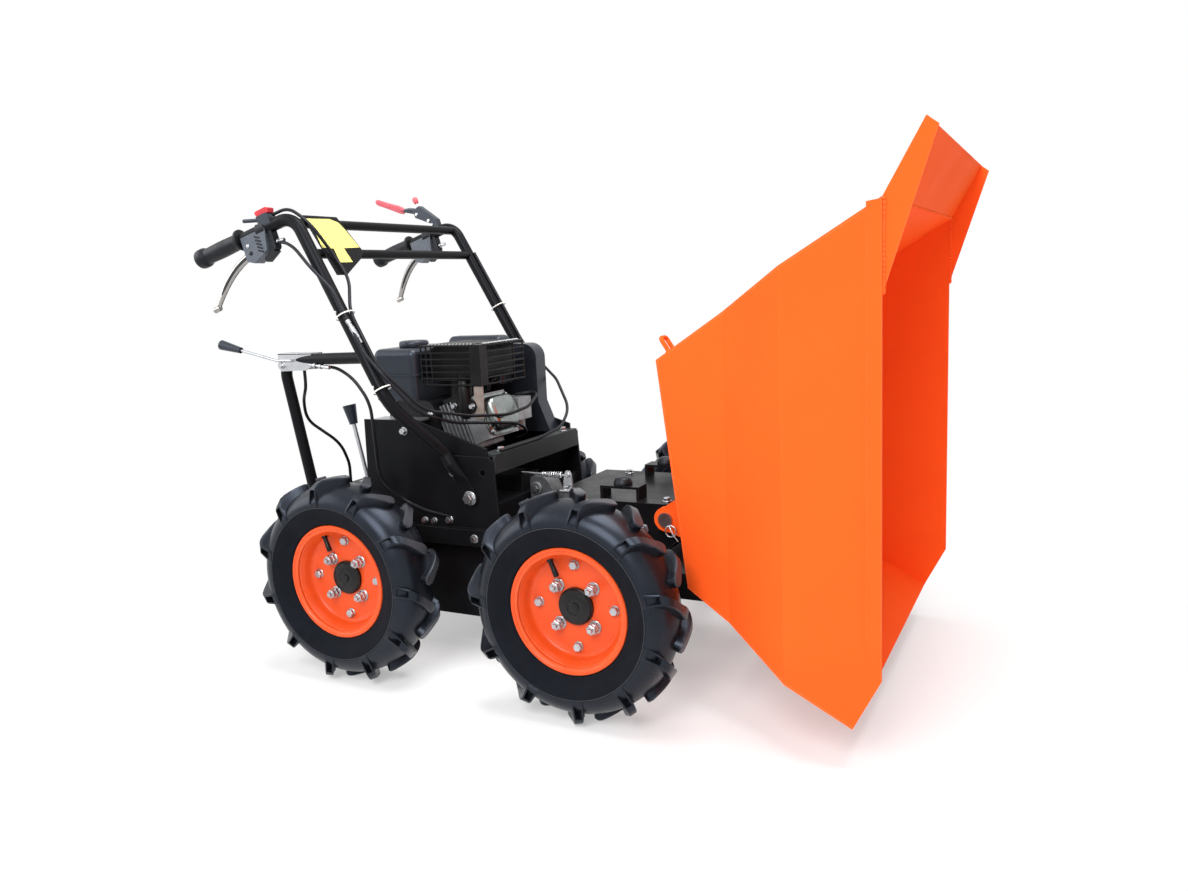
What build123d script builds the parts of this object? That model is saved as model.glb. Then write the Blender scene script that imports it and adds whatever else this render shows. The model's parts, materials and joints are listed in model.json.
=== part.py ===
from build123d import *
import math
import os

# Walk-behind power barrow with four driven wheels and a skip that tips over the front.
# X points forward, Y to the operator's left and Z up. Sizes are millimetres and degrees.
# The model is drawn from the middle of the wheelbase, with Y to the operator's right.
# At the end it is mirrored to Y left and moved to its own bottom centre.

# Wheels
WHEELBASE = 526.0
TRACK = 726.0
TYRE_RADIUS = 212.0
CASING_RADIUS = 196.0
TYRE_WIDTH = 110.0
BEAD_RADIUS = 104.0
LUG_COUNT = 12
LUG_WIDTH = 20.0
LUG_ANGLE = 38.0
LUG_ROOT = 12.0
FLATS_PER_LUG = 3
SHOULDER_DROP = 9.0
SHOULDER_INSET = 14.0
RIM_FLANGE_RADIUS = 116.0
RIM_FLANGE_LIP = 6.0
RIM_WIDTH = 74.0
RIM_SHEET = 4.0
DISC_RECESS = 38.0
HUB_RADIUS = 34.0
HUB_FLANGE_RADIUS = 62.0
HUB_FLANGE = 8.0
HUB_CAP = 9.0
HUB_TAIL = 6.0
SPINDLE_RADIUS = 15.0
AXLE_TUBE_RADIUS = 28.0
AXLE_FLANGE_RADIUS = 37.0
AXLE_FLANGE = 10.0
RUNNING_GAP = 0.3

# Chassis
CASE_HALF_WIDTH = 170.0
CASE_BOTTOM = 84.0
CASE_TOP = 250.0
CASE_HALF_LENGTH = 335.0
CASE_CHAMFER = 60.0
RAIL_HEIGHT = 34.0
RAIL_LEDGE = 16.0
RAIL_SEAT = 40.0
PLATE_OUTER = 186.0
PLATE_SHEET = 5.0
PLATE_REAR = -345.0
PLATE_FRONT = -4.0
PLATE_RAKE = 10.0
PLATE_KNEE_X = -206.0
PLATE_STEP_X = -118.0
PLATE_REAR_TOP = 508.0
PLATE_FRONT_TOP = 436.0
GUSSET_TOP = 452.0
GUSSET_FRONT = -30.0
DECK_TOP = 336.0
DECK_SHEET = 6.0
ANGLE_LEG = 35.0
ANGLE_SHEET = 5.0
ANGLE_FRONT = -11.0
FRONT_FRAME_HALF_WIDTH = 143.0
FRONT_FRAME_TOP = 352.0
FRONT_FRAME_SHEET = 6.0
FRONT_FRAME_REAR = 80.0
FRONT_FRAME_FRONT = 392.0
REAR_SHELF_REAR = -500.0
REAR_SHELF_HALF_WIDTH = 255.0
REAR_SHELF_SHEET = 5.0
REAR_SHELF_FLANGE = 46.0
ACCESSORY_HOLE_RADIUS = 6.5
ACCESSORY_HOLE_X = -40.0
ACCESSORY_HOLE_Z = 403.0
STOP_X = 243.0
STOP_Y = 110.0
STOP_BRACKET_LENGTH = 84.0
STOP_BRACKET_WIDTH = 40.0
STOP_BRACKET_SHEET = 5.0
STOP_PAD_RADIUS = 19.0
STOP_PAD_TAPER = 6.0
STOP_PAD_HEIGHT = 16.0
STOP_CLEARANCE = 5.0
TIP_STOP_Y = 96.0
TIP_STOP_PLATE = 12.0
TIP_STOP_DROP = 150.0
TIP_STOP_HEIGHT = 48.0
TIP_STOP_NOSE = 20.0

# Gearbox and latch ahead of the engine
GEARBOX_REAR = -8.0
GEARBOX_FRONT = 70.0
GEARBOX_LEFT = -40.0
GEARBOX_RIGHT = 60.0
GEARBOX_TOP = 372.0
GEARBOX_SHOULDER = 330.0
BELT_GUARD_LENGTH = 70.0
BELT_GUARD_LEFT = -10.0
BELT_GUARD_TOP = 374.0
LATCH_X = 94.0
LATCH_Y = 80.0
LATCH_WIDTH = 18.0
LATCH_SHEET = 5.0
LATCH_TOP = 394.0
LATCH_SPRING_RADIUS = 5.0

# Skip, drawn lowered on its stops and then tipped
SKIP_SHEET = 3.0
SKIP_FLOOR = 400.0
SKIP_FLOOR_BACK = 49.0
SKIP_FLOOR_FRONT = 456.0
SKIP_RIM_BACK_X = -133.0
SKIP_RIM_BACK_Z = 834.0
SKIP_RIM_FRONT_X = 579.0
SKIP_RIM_FRONT_Z = 741.0
SKIP_LIP_X = 658.0
SKIP_LIP_Z = 686.0
SKIP_FLOOR_HALF = 247.0
SKIP_LOWER_FOLD_HALF = 300.0
SKIP_UPPER_FOLD_HALF = 379.0
SKIP_RIM_HALF = 380.0
SKIP_LOWER_FOLD_SHARE = 0.383
SKIP_UPPER_FOLD_SHARE = 0.652
SKIP_HEM = 22.0
SKIP_HEM_SHEET = 4.0
GUARD_RISE_X = -93.0
GUARD_RISE_Z = 70.0
GUARD_CHEEK = 135.0
GUARD_CHEEK_NOSE = 15.0
TIP_ANGLE = 82.4
HINGE_X = 354.0
HINGE_Z = 327.0
HINGE_PIN_RADIUS = 8.0
HINGE_HEAD = 6.0
LUG_PLATE = 10.0
LUG_GAP = 7.0
LUG_EYE_RADIUS = 24.0
LUG_SPREAD = 60.0
LOOP_Y = 235.0
LOOP_HALF = 12.0
LOOP_REACH = 26.0
LOOP_HEIGHT = 24.0
LOOP_RADIUS = 4.0

# Handlebar
TUBE_RADIUS = 13.0
BAR_RADIUS = 10.0
HANDLE_LOW_X = -114.0
HANDLE_LOW_Z = 431.0
HANDLE_KNEE_X = -185.0
HANDLE_KNEE_Z = 555.0
HANDLE_TOP_X = -398.0
HANDLE_TOP_Z = 942.0
HANDLE_GRIP_X = -654.0
HANDLE_GRIP_Z = 868.0
HANDLE_KNEE_HALF = 287.0
HANDLE_TOP_HALF = 279.0
HANDLE_GRIP_HALF = 294.0
HANDLE_BEND = 45.0
KNEE_BEND = 110.0
BLADE = 8.0
BLADE_WIDTH = 32.0
BLADE_FLARE = 44.0
BLADE_FOOT_X = -69.0
BLADE_FOOT_Z = 350.0
UPPER_BAR_SHARE = 0.692
LOWER_BAR_SHARE = 0.605
GRIP_LENGTH = 120.0
GRIP_RADIUS = 17.0
GRIP_COLLAR_RADIUS = 23.0
GRIP_COLLAR = 6.0
GRIP_END = 12.0
PANEL_SHEET = 2.0
PANEL_RIGHT = 260.0
PANEL_LEFT = 138.0
PANEL_TOP = 12.0
PANEL_TIP = 60.0

# Hand controls, placed along the grip run from its top corner
HOUSING_START = 70.0
HOUSING_END = 140.0
HOUSING_DEPTH = 60.0
HOUSING_HALF = 14.0
LEVER_RADIUS = 5.0
LEVER_BALL_RADIUS = 9.0
LEVER_TIP_X = -609.0
LEVER_TIP_Y = 310.0
LEVER_TIP_Z = 759.0
SWITCH_START = 50.0
SWITCH_LENGTH = 34.0
SWITCH_HALF = 13.0
SWITCH_TOP = 26.0
SWITCH_CAP_HALF = 9.0
SWITCH_CAP = 12.0
THROTTLE_START = 40.0
THROTTLE_HALF = 8.0
THROTTLE_ROD_RADIUS = 4.0
THROTTLE_GRIP_RADIUS = 7.5
CHOKE_KNOB_RADIUS = 8.0

# Control post and levers behind the engine
POST_RADIUS = 12.0
POST_JOIN_Z = 650.0
POST_TOP_X = -484.0
POST_TOP_Y = 262.0
POST_TOP_Z = 645.0
POST_FOOT_X = -460.0
POST_FOOT_Y = 228.0
POST_BEND = 40.0
POST_PLATE = 5.0
POST_PLATE_HALF = 24.0
BRACKET_LENGTH = 95.0
BRACKET_HALF = 17.0
BRACKET_DROP = 22.0
BRACKET_END = -386.0
LOCK_ROD_RADIUS = 3.0
LOCK_KNOB_X = -584.0
LOCK_KNOB_Z = 668.0
LOCK_KNOB_LENGTH = 58.0
LOCK_KNOB_RADIUS = 11.0
GEAR_ROD_RADIUS = 5.0
GEAR_Y = 60.0
GEAR_FOOT_X = -452.0
GEAR_KNOB_X = -482.0
GEAR_KNOB_Z = 475.0
GEAR_KNOB_RADIUS = 16.0
GEAR_KNOB_LENGTH = 46.0

# Engine
ENGINE_REAR = -330.0
ENGINE_FRONT = -205.0
ENGINE_RIGHT = 110.0
ENGINE_LEFT = -134.0
ENGINE_TOP = 540.0
ENGINE_ROUND = 30.0
CYLINDER_TILT = 20.0
CYLINDER_X = -230.0
CYLINDER_Y = 30.0
CYLINDER_Z = 455.0
CYLINDER_CORE = 42.0
FIN_COUNT = 10
FIN_HALF = 58.0
FIN_SHEET = 3.5
FIN_PITCH = 10.0
HEAD_LENGTH = 42.0
ROCKER_LENGTH = 26.0
ROCKER_HALF_WIDTH = 54.0
ROCKER_HALF_HEIGHT = 36.0
ROCKER_ROUND = 10.0
TANK_TOP = 654.0
TANK_REAR = -362.0
TANK_FRONT = -246.0
TANK_RIGHT = 118.0
TANK_LEFT = -74.0
TANK_ROUND = 16.0
TANK_SEAM_SHARE = 0.48
TANK_SEAM = 4.0
CAP_X = -290.0
CAP_Y = 56.0
CAP_RADIUS = 29.0
CAP_HEIGHT = 15.0
CAGE_REAR = -240.0
CAGE_FRONT = -82.0
CAGE_RIGHT = 104.0
CAGE_LEFT = -74.0
CAGE_BOTTOM = 574.0
CAGE_TOP = 660.0
CAGE_WIRE = 2.0
CAGE_WIRES = 6
CAGE_SHEET = 3.0
CAGE_CORNER = 26.0
CAGE_SLOTS = 9
MUFFLER_GAP = 16.0
MUFFLER_ROUND = 18.0
EXHAUST_Y = 66.0
EXHAUST_RADIUS = 17.0
EXHAUST_FLANGE = 8.0
EXHAUST_FLANGE_SIZE = 50.0
EXHAUST_ALONG = 85.0
STAY_X = -112.0
STAY_WIDTH = 22.0
STAY_SHEET = 4.0
STAY_FOOT = 500.0
SHROUD_DEPTH = 42.0
SHROUD_REAR = -300.0
SHROUD_FRONT = -87.0
SHROUD_TOE = -58.0
SHROUD_BOTTOM = 438.0
SHROUD_STEP = 509.0
SHROUD_TOP = 645.0
SHROUD_ROUND = 34.0
CLEANER_REAR = -300.0
CLEANER_FRONT = -150.0
CLEANER_DEPTH = 52.0
CLEANER_BOTTOM = 556.0
CLEANER_TOP = 668.0
CLEANER_ROUND = 14.0
CARBURETTOR_REAR = -126.0
CARBURETTOR_LENGTH = 50.0
CARBURETTOR_WIDTH = 54.0
CARBURETTOR_BOTTOM = 480.0
CARBURETTOR_TOP = 530.0
BOWL_RADIUS = 20.0
BOWL_DEPTH = 24.0

# Control cables
CABLE_RADIUS = 3.4
CABLE_TOUCH = 0.1
CABLE_BEND = 90.0
CABLE_LEAD = 24.0

AXLE_Z = TYRE_RADIUS
TANK_BOTTOM = ENGINE_TOP
FOOT_Z = CASE_TOP + RAIL_HEIGHT
PLATE_INNER = PLATE_OUTER - PLATE_SHEET
GRIP_CORNER = Vector(HANDLE_TOP_X, HANDLE_TOP_HALF, HANDLE_TOP_Z)
GRIP_TIP = Vector(HANDLE_GRIP_X, HANDLE_GRIP_HALF, HANDLE_GRIP_Z)
GRIP_ALONG = (GRIP_TIP - GRIP_CORNER).normalized()
GRIP_RUN = Plane(origin=GRIP_CORNER, x_dir=GRIP_ALONG, z_dir=GRIP_ALONG.cross(Vector(0, 0, 1)))
WHEEL_PLACES = {
    "front_right": (WHEELBASE / 2, 1),
    "front_left": (WHEELBASE / 2, -1),
    "rear_right": (-WHEELBASE / 2, 1),
    "rear_left": (-WHEELBASE / 2, -1),
}


def slab(x, y, z):
    """A block between the low and high value of each axis."""
    size = Box(x[1] - x[0], y[1] - y[0], z[1] - z[0])
    return Pos((x[0] + x[1]) / 2, (y[0] + y[1]) / 2, (z[0] + z[1]) / 2) * size


def side_sheet(points, low, high):
    """An outline in X and Z made solid between two values of Y."""
    face = make_face(Polyline(*points, close=True))
    on_edge = Plane(origin=(0, high, 0), x_dir=(1, 0, 0), z_dir=(0, -1, 0))
    return extrude(on_edge * face, amount=high - low)


def cross_rod(x, z, low, high, radius):
    """A round bar along Y between two values of Y."""
    return Pos(x, (low + high) / 2, z) * Rot(90, 0, 0) * Cylinder(radius, high - low)


def bent_tube(points, radii, radius):
    """A round tube along straight runs joined by arcs."""
    path = FilletPolyline(*points, radius=radii) if radii else Polyline(*points)
    start = Plane(origin=path @ 0, z_dir=path % 0)
    return sweep(start * Circle(radius), path=path)


def straight_rod(start, end, radius):
    """A round bar between two points."""
    return bent_tube([start, end], None, radius)


def tapered_rod(start, end, radius, end_radius):
    """A round bar between two points that changes its radius evenly."""
    run = Vector(*end) - Vector(*start)
    place = Plane(origin=Vector(*start) + run / 2, z_dir=run)
    return place.location * Cone(radius, end_radius, run.length)


def both_sides(right):
    """The right piece and its mirror image as one node."""
    return Compound([*right.solids(), *mirror(right, about=Plane.XZ).solids()])


def grip_point(along, up, out):
    """A point beside the right grip run, by the way along it, above it and to its outside."""
    return GRIP_CORNER + GRIP_RUN.x_dir * along + GRIP_RUN.y_dir * up + GRIP_RUN.z_dir * out


def grip_sheet(points, half):
    """An outline along and above the right grip run made solid to both sides of it."""
    return extrude(GRIP_RUN * make_face(Polyline(*points, close=True)), amount=half, both=True)


def grip_clearance():
    """The straight part of the right grip run with a running gap round it."""
    start = grip_point(0, 0, 0)
    end = grip_point(HOUSING_END + GRIP_LENGTH, 0, 0)
    return straight_rod(start, end, TUBE_RADIUS + RUNNING_GAP)


def ring_of_flats(outline, count):
    """A closed ring about Y made of flats, from an outline of radius and Y."""
    turns = [2 * math.pi * (index + 0.5) / count for index in range(count)]
    rows = [[(r * math.sin(turn), y, r * math.cos(turn)) for r, y in outline] for turn in turns]
    faces = []
    for index, row in enumerate(rows):
        after = rows[(index + 1) % count]
        for corner in range(len(outline)):
            other = (corner + 1) % len(outline)
            edge = [row[corner], row[other], after[other], after[corner]]
            faces.append(Face(Wire.make_polygon(edge, close=True)))
    return Solid(Shell(faces))


def tyre():
    """Casing of flats with alternating slanted bars, standing across Y at the origin."""
    half = TYRE_WIDTH / 2
    bead_half = RIM_WIDTH / 2 - RIM_SHEET
    shoulder = CASING_RADIUS - SHOULDER_DROP
    low_belly = RIM_FLANGE_RADIUS + 0.4 * (CASING_RADIUS - RIM_FLANGE_RADIUS)
    high_belly = RIM_FLANGE_RADIUS + 0.67 * (CASING_RADIUS - RIM_FLANGE_RADIUS)
    flats = FLATS_PER_LUG * LUG_COUNT
    left = [
        (BEAD_RADIUS / math.cos(math.pi / flats), -bead_half),
        (RIM_FLANGE_RADIUS + RIM_SHEET, -bead_half),
        (low_belly, -half),
        (high_belly, -half),
        (shoulder, SHOULDER_INSET - half),
        (CASING_RADIUS, 0),
    ]
    right = [(radius, -y) for radius, y in reversed(left[:-1])]
    casing = ring_of_flats(left + right, flats)
    slant = math.radians(LUG_ANGLE)
    reach = (half - 2 - LUG_WIDTH / 2 * math.sin(slant)) / math.cos(slant)
    sideways = reach * math.sin(slant) / 2 + LUG_WIDTH / 2
    tip = math.sqrt(TYRE_RADIUS**2 - sideways**2)
    bar_side = [
        (-LUG_ROOT / 3, CASING_RADIUS - LUG_ROOT),
        (-LUG_ROOT / 3, tip),
        (reach - LUG_ROOT, tip - LUG_ROOT / 3),
        (reach, CASING_RADIUS - LUG_ROOT / 2),
        (reach, high_belly + LUG_ROOT / 2),
        (reach - LUG_ROOT, high_belly),
    ]
    lugs = []
    for side in (1, -1):
        along = Vector(-math.sin(slant), side * math.cos(slant), 0)
        start = Vector(reach * math.sin(slant) / 2, 0, 0)
        flank = Plane(origin=start, x_dir=along, z_dir=along.cross(Vector(0, 0, 1)))
        bar = extrude(flank * make_face(Polyline(*bar_side, close=True)), amount=LUG_WIDTH / 2, both=True)
        shift = 0 if side > 0 else 0.5
        for index in range(LUG_COUNT):
            lugs.append(Rot(0, 360 * (index + shift) / LUG_COUNT, 0) * bar)
    return casing.fuse(*lugs)


def rim():
    """Pressed disc wheel with a recessed centre, its outer face towards +Y."""
    half = RIM_WIDTH / 2
    well = BEAD_RADIUS - 2 * RIM_SHEET
    disc = half - DISC_RECESS
    seat = half - RIM_SHEET + RUNNING_GAP
    outline = [
        (HUB_RADIUS + RUNNING_GAP, disc),
        (HUB_RADIUS + RUNNING_GAP, disc - RIM_SHEET),
        (well, disc - RIM_SHEET),
        (well, 2 * RIM_SHEET - half),
        (RIM_FLANGE_RADIUS - RIM_FLANGE_LIP, -half),
        (RIM_FLANGE_RADIUS, -half),
        (RIM_FLANGE_RADIUS, -seat),
        (BEAD_RADIUS - RUNNING_GAP, -seat),
        (BEAD_RADIUS - RUNNING_GAP, seat),
        (RIM_FLANGE_RADIUS, seat),
        (RIM_FLANGE_RADIUS, half),
        (RIM_FLANGE_RADIUS - RIM_FLANGE_LIP, half),
        (well + RIM_SHEET, half - 0.4 * DISC_RECESS),
        (well, disc + 2 * RIM_SHEET),
        (well - 2 * RIM_SHEET, disc),
    ]
    return revolve(make_face(Polyline(*outline, close=True)), axis=Axis.Y)


def hub():
    """Hub barrel with its bolting flange behind the disc and a closed cap."""
    disc = RIM_WIDTH / 2 - DISC_RECESS
    back = disc - RIM_SHEET
    bore = SPINDLE_RADIUS + RUNNING_GAP
    tail = -RIM_WIDTH / 2 - HUB_TAIL
    outline = [
        (bore, tail),
        (HUB_RADIUS, tail),
        (HUB_RADIUS, back - HUB_FLANGE),
        (HUB_FLANGE_RADIUS, back - HUB_FLANGE),
        (HUB_FLANGE_RADIUS, back),
        (HUB_RADIUS, back),
        (HUB_RADIUS, disc + 2 * HUB_CAP / 3),
        (HUB_RADIUS - HUB_CAP / 3, disc + HUB_CAP),
        (0, disc + HUB_CAP),
        (0, disc),
        (bore, disc),
    ]
    return revolve(make_face(Polyline(*outline, close=True)), axis=Axis.Y)


def axles():
    """Four axle tubes on the sides of the chain case, each ending in a spindle for its wheel."""
    hub_inner = TRACK / 2 - RIM_WIDTH / 2 - HUB_TAIL - RUNNING_GAP
    spindle_end = TRACK / 2 + RIM_WIDTH / 2 - DISC_RECESS - RUNNING_GAP
    outline = [
        (0, CASE_HALF_WIDTH),
        (AXLE_FLANGE_RADIUS, CASE_HALF_WIDTH),
        (AXLE_FLANGE_RADIUS, CASE_HALF_WIDTH + AXLE_FLANGE),
        (AXLE_TUBE_RADIUS, CASE_HALF_WIDTH + AXLE_FLANGE),
        (AXLE_TUBE_RADIUS, hub_inner),
        (SPINDLE_RADIUS, hub_inner),
        (SPINDLE_RADIUS, spindle_end),
        (0, spindle_end),
    ]
    stub = revolve(make_face(Polyline(*outline, close=True)), axis=Axis.Y)
    pair = [Pos(x, 0, AXLE_Z) * stub for x in (WHEELBASE / 2, -WHEELBASE / 2)]
    return both_sides(Compound([solid for piece in pair for solid in piece.solids()]))


def tip_stops():
    """Rounded brackets on the nose of the case that the tipped skip floor comes to rest on."""
    lean = math.radians(TIP_ANGLE)
    floor_x = HINGE_X + (SKIP_FLOOR - HINGE_Z) / math.sin(lean) + TIP_STOP_DROP / math.tan(lean)
    reach = floor_x - STOP_CLEARANCE
    high = HINGE_Z - TIP_STOP_DROP + TIP_STOP_HEIGHT / 2
    low = high - TIP_STOP_HEIGHT
    outline = [
        (CASE_HALF_LENGTH, high),
        (CASE_HALF_LENGTH, low),
        (reach - TIP_STOP_NOSE, low),
        (reach - TIP_STOP_NOSE / 4, low + TIP_STOP_NOSE / 2),
        (reach - TIP_STOP_NOSE / 2, high - TIP_STOP_NOSE / 2),
        (reach - TIP_STOP_NOSE, high),
    ]
    return both_sides(side_sheet(outline, TIP_STOP_Y, TIP_STOP_Y + TIP_STOP_PLATE))


def chain_case():
    """Closed lower hull between the wheels that houses the drive, with the tipping stops on its nose."""
    low = CASE_BOTTOM + CASE_CHAMFER
    inner = CASE_HALF_LENGTH - CASE_CHAMFER
    outline = [
        (-CASE_HALF_LENGTH, CASE_TOP),
        (-CASE_HALF_LENGTH, low),
        (-inner, CASE_BOTTOM),
        (inner, CASE_BOTTOM),
        (CASE_HALF_LENGTH, low),
        (CASE_HALF_LENGTH, CASE_TOP),
    ]
    hull = side_sheet(outline, -CASE_HALF_WIDTH, CASE_HALF_WIDTH)
    return hull.fuse(*tip_stops().solids())


def side_rails():
    """Pair of rails on the case, each with a ledge outside the side plate."""
    y = (CASE_HALF_WIDTH - RAIL_SEAT, PLATE_OUTER + RAIL_LEDGE)
    return both_sides(slab((PLATE_REAR, 0), y, (CASE_TOP, FOOT_Z)))


def side_plate():
    """Right side plate of the engine bay, with a sloping gusset inside."""
    outline = [
        (PLATE_REAR, FOOT_Z),
        (PLATE_FRONT, FOOT_Z),
        (PLATE_FRONT - PLATE_RAKE, PLATE_FRONT_TOP - PLATE_RAKE),
        (PLATE_FRONT - 2 * PLATE_RAKE, PLATE_FRONT_TOP),
        (PLATE_STEP_X, PLATE_FRONT_TOP),
        (PLATE_KNEE_X, PLATE_REAR_TOP),
        (PLATE_REAR + PLATE_RAKE / 2, PLATE_REAR_TOP),
    ]
    gusset = [
        (PLATE_KNEE_X, PLATE_REAR_TOP),
        (GUSSET_FRONT, GUSSET_TOP),
        (GUSSET_FRONT, PLATE_FRONT_TOP - ANGLE_LEG),
        (PLATE_KNEE_X, PLATE_FRONT_TOP - ANGLE_LEG),
    ]
    plate = side_sheet(outline, PLATE_INNER, PLATE_OUTER)
    return plate + side_sheet(gusset, PLATE_INNER - PLATE_SHEET, PLATE_INNER)


def side_plates():
    """Pair of side plates, the right one with an open hole for accessories."""
    plate = side_plate()
    reach = (PLATE_INNER - 2 * PLATE_SHEET, PLATE_OUTER + PLATE_SHEET)
    hole = cross_rod(ACCESSORY_HOLE_X, ACCESSORY_HOLE_Z, *reach, ACCESSORY_HOLE_RADIUS)
    return Compound([*(plate - hole).solids(), *mirror(plate, about=Plane.XZ).solids()])


def engine_deck():
    """Folded deck between the side plates that carries the engine."""
    front = PLATE_FRONT - PLATE_RAKE
    y = (-PLATE_INNER, PLATE_INNER)
    under = (FOOT_Z, DECK_TOP - DECK_SHEET)
    top = slab((PLATE_REAR, front), y, (DECK_TOP - DECK_SHEET, DECK_TOP))
    wall = slab((front - DECK_SHEET, front), y, under)
    back = slab((PLATE_REAR, PLATE_REAR + DECK_SHEET), y, under)
    return top + wall + back


def front_cross_angle():
    """Angle bar that ties the side plates together at their front top corner, its face to the front."""
    top = PLATE_FRONT_TOP
    between = PLATE_INNER - PLATE_SHEET
    face = slab((ANGLE_FRONT - ANGLE_SHEET, ANGLE_FRONT), (-PLATE_INNER, PLATE_INNER), (top - ANGLE_LEG, top))
    ledge = slab((ANGLE_FRONT - ANGLE_LEG, ANGLE_FRONT), (-between, between), (top, top + ANGLE_SHEET))
    return face + ledge


def bump_stop_brackets():
    """Two inverted channel brackets that carry the rubber stops under the lowered skip."""
    top = SKIP_FLOOR - STOP_CLEARANCE - STOP_PAD_HEIGHT
    x = (STOP_X - STOP_BRACKET_LENGTH / 2, STOP_X + STOP_BRACKET_LENGTH / 2)
    y = (STOP_Y - STOP_BRACKET_WIDTH / 2, STOP_Y + STOP_BRACKET_WIDTH / 2)
    sheet = STOP_BRACKET_SHEET
    outer = slab(x, y, (FRONT_FRAME_TOP, top))
    room_z = (FRONT_FRAME_TOP - sheet, top - sheet)
    return both_sides(outer - slab((x[0] + sheet, x[1] - sheet), (y[0] - sheet, y[1] + sheet), room_z))


def front_frame():
    """Folded channel over the front axle, open below, with the hinge cheeks and the stop brackets."""
    half = FRONT_FRAME_HALF_WIDTH
    under = FRONT_FRAME_TOP - FRONT_FRAME_SHEET
    top = slab((FRONT_FRAME_REAR, FRONT_FRAME_FRONT), (-half, half), (under, FRONT_FRAME_TOP))
    outline = [
        (FRONT_FRAME_REAR, CASE_TOP),
        (CASE_HALF_LENGTH, CASE_TOP),
        (FRONT_FRAME_FRONT, HINGE_Z - LUG_EYE_RADIUS),
        (FRONT_FRAME_FRONT, under),
        (FRONT_FRAME_REAR, under),
    ]
    cheek = side_sheet(outline, half - FRONT_FRAME_SHEET, half)
    frame = top.fuse(cheek, mirror(cheek, about=Plane.XZ), *bump_stop_brackets().solids())
    reach = half + LUG_GAP
    return frame - cross_rod(HINGE_X, HINGE_Z, -reach, reach, HINGE_PIN_RADIUS + RUNNING_GAP)


def rear_shelf():
    """Flanged shelf behind the engine for the gear lever and the foot of the control post."""
    y = (-REAR_SHELF_HALF_WIDTH, REAR_SHELF_HALF_WIDTH)
    under = DECK_TOP - REAR_SHELF_SHEET
    top = slab((REAR_SHELF_REAR, PLATE_REAR), y, (under, DECK_TOP))
    apron_x = (REAR_SHELF_REAR, REAR_SHELF_REAR + REAR_SHELF_SHEET)
    return top + slab(apron_x, y, (DECK_TOP - REAR_SHELF_FLANGE, under))


def bump_stops():
    """Two conical rubber buffers on their brackets."""
    top = SKIP_FLOOR - STOP_CLEARANCE
    pad = Cone(STOP_PAD_RADIUS, STOP_PAD_RADIUS - STOP_PAD_TAPER, STOP_PAD_HEIGHT)
    return both_sides(Pos(STOP_X, STOP_Y, top - STOP_PAD_HEIGHT / 2) * pad)


def hinge_pin():
    """Long pin through the front frame and the lugs of the skip, with a head at each end."""
    reach = FRONT_FRAME_HALF_WIDTH + LUG_GAP + LUG_PLATE + RUNNING_GAP
    pin = cross_rod(HINGE_X, HINGE_Z, -reach, reach, HINGE_PIN_RADIUS)
    head = cross_rod(HINGE_X, HINGE_Z, reach, reach + HINGE_HEAD, HINGE_PIN_RADIUS + HINGE_HEAD)
    return pin + head + mirror(head, about=Plane.XZ)


def gearbox():
    """Cast gearbox between the engine deck and the front frame, its front top corner sloping."""
    outline = [
        (GEARBOX_REAR, CASE_TOP),
        (GEARBOX_FRONT, CASE_TOP),
        (GEARBOX_FRONT, GEARBOX_SHOULDER),
        ((GEARBOX_REAR + GEARBOX_FRONT) / 2, GEARBOX_TOP),
        (GEARBOX_REAR, GEARBOX_TOP),
    ]
    return side_sheet(outline, GEARBOX_LEFT, GEARBOX_RIGHT)


def belt_guard():
    """Black cover over the drive belt at the front of the deck."""
    front = PLATE_FRONT - 2 * PLATE_RAKE
    x = (front - BELT_GUARD_LENGTH, front)
    return slab(x, (BELT_GUARD_LEFT, GEARBOX_RIGHT), (DECK_TOP, BELT_GUARD_TOP))


def latch_lever():
    """Upright latch plate on the front frame with its spring to the gearbox."""
    x = (LATCH_X, LATCH_X + LATCH_WIDTH)
    y = (LATCH_Y, LATCH_Y + LATCH_SHEET)
    plate = slab(x, y, (FRONT_FRAME_TOP, LATCH_TOP))
    foot = slab(x, (LATCH_Y, LATCH_Y + 4 * LATCH_SHEET), (FRONT_FRAME_TOP, FRONT_FRAME_TOP + LATCH_SHEET))
    height = LATCH_TOP - 2 * LATCH_SPRING_RADIUS
    near = (LATCH_X, LATCH_Y + LATCH_SHEET / 2, height)
    far = (GEARBOX_REAR, LATCH_Y + LATCH_SHEET / 2, height)
    return plate + foot + straight_rod(near, far, LATCH_SPRING_RADIUS)


def skip_frame():
    """Where the lowered skip stands after it is tipped about its hinge."""
    return Pos(HINGE_X, 0, HINGE_Z) * Rot(0, TIP_ANGLE, 0) * Pos(-HINGE_X, 0, -HINGE_Z)


def inset(start, end, amount):
    """The shift that moves a wall line by an amount to its left, with X to the right and Z up."""
    length = math.hypot(end[0] - start[0], end[1] - start[1])
    return (-(end[1] - start[1]) / length * amount, (end[0] - start[0]) / length * amount)


def rim_slope():
    """Fall of the skip's rim towards the front, as Z over X."""
    return (SKIP_RIM_FRONT_Z - SKIP_RIM_BACK_Z) / (SKIP_RIM_FRONT_X - SKIP_RIM_BACK_X)


def back_slope():
    """Lean of the skip's back wall, as X over Z."""
    return (SKIP_FLOOR_BACK - SKIP_RIM_BACK_X) / (SKIP_FLOOR - SKIP_RIM_BACK_Z)


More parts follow.
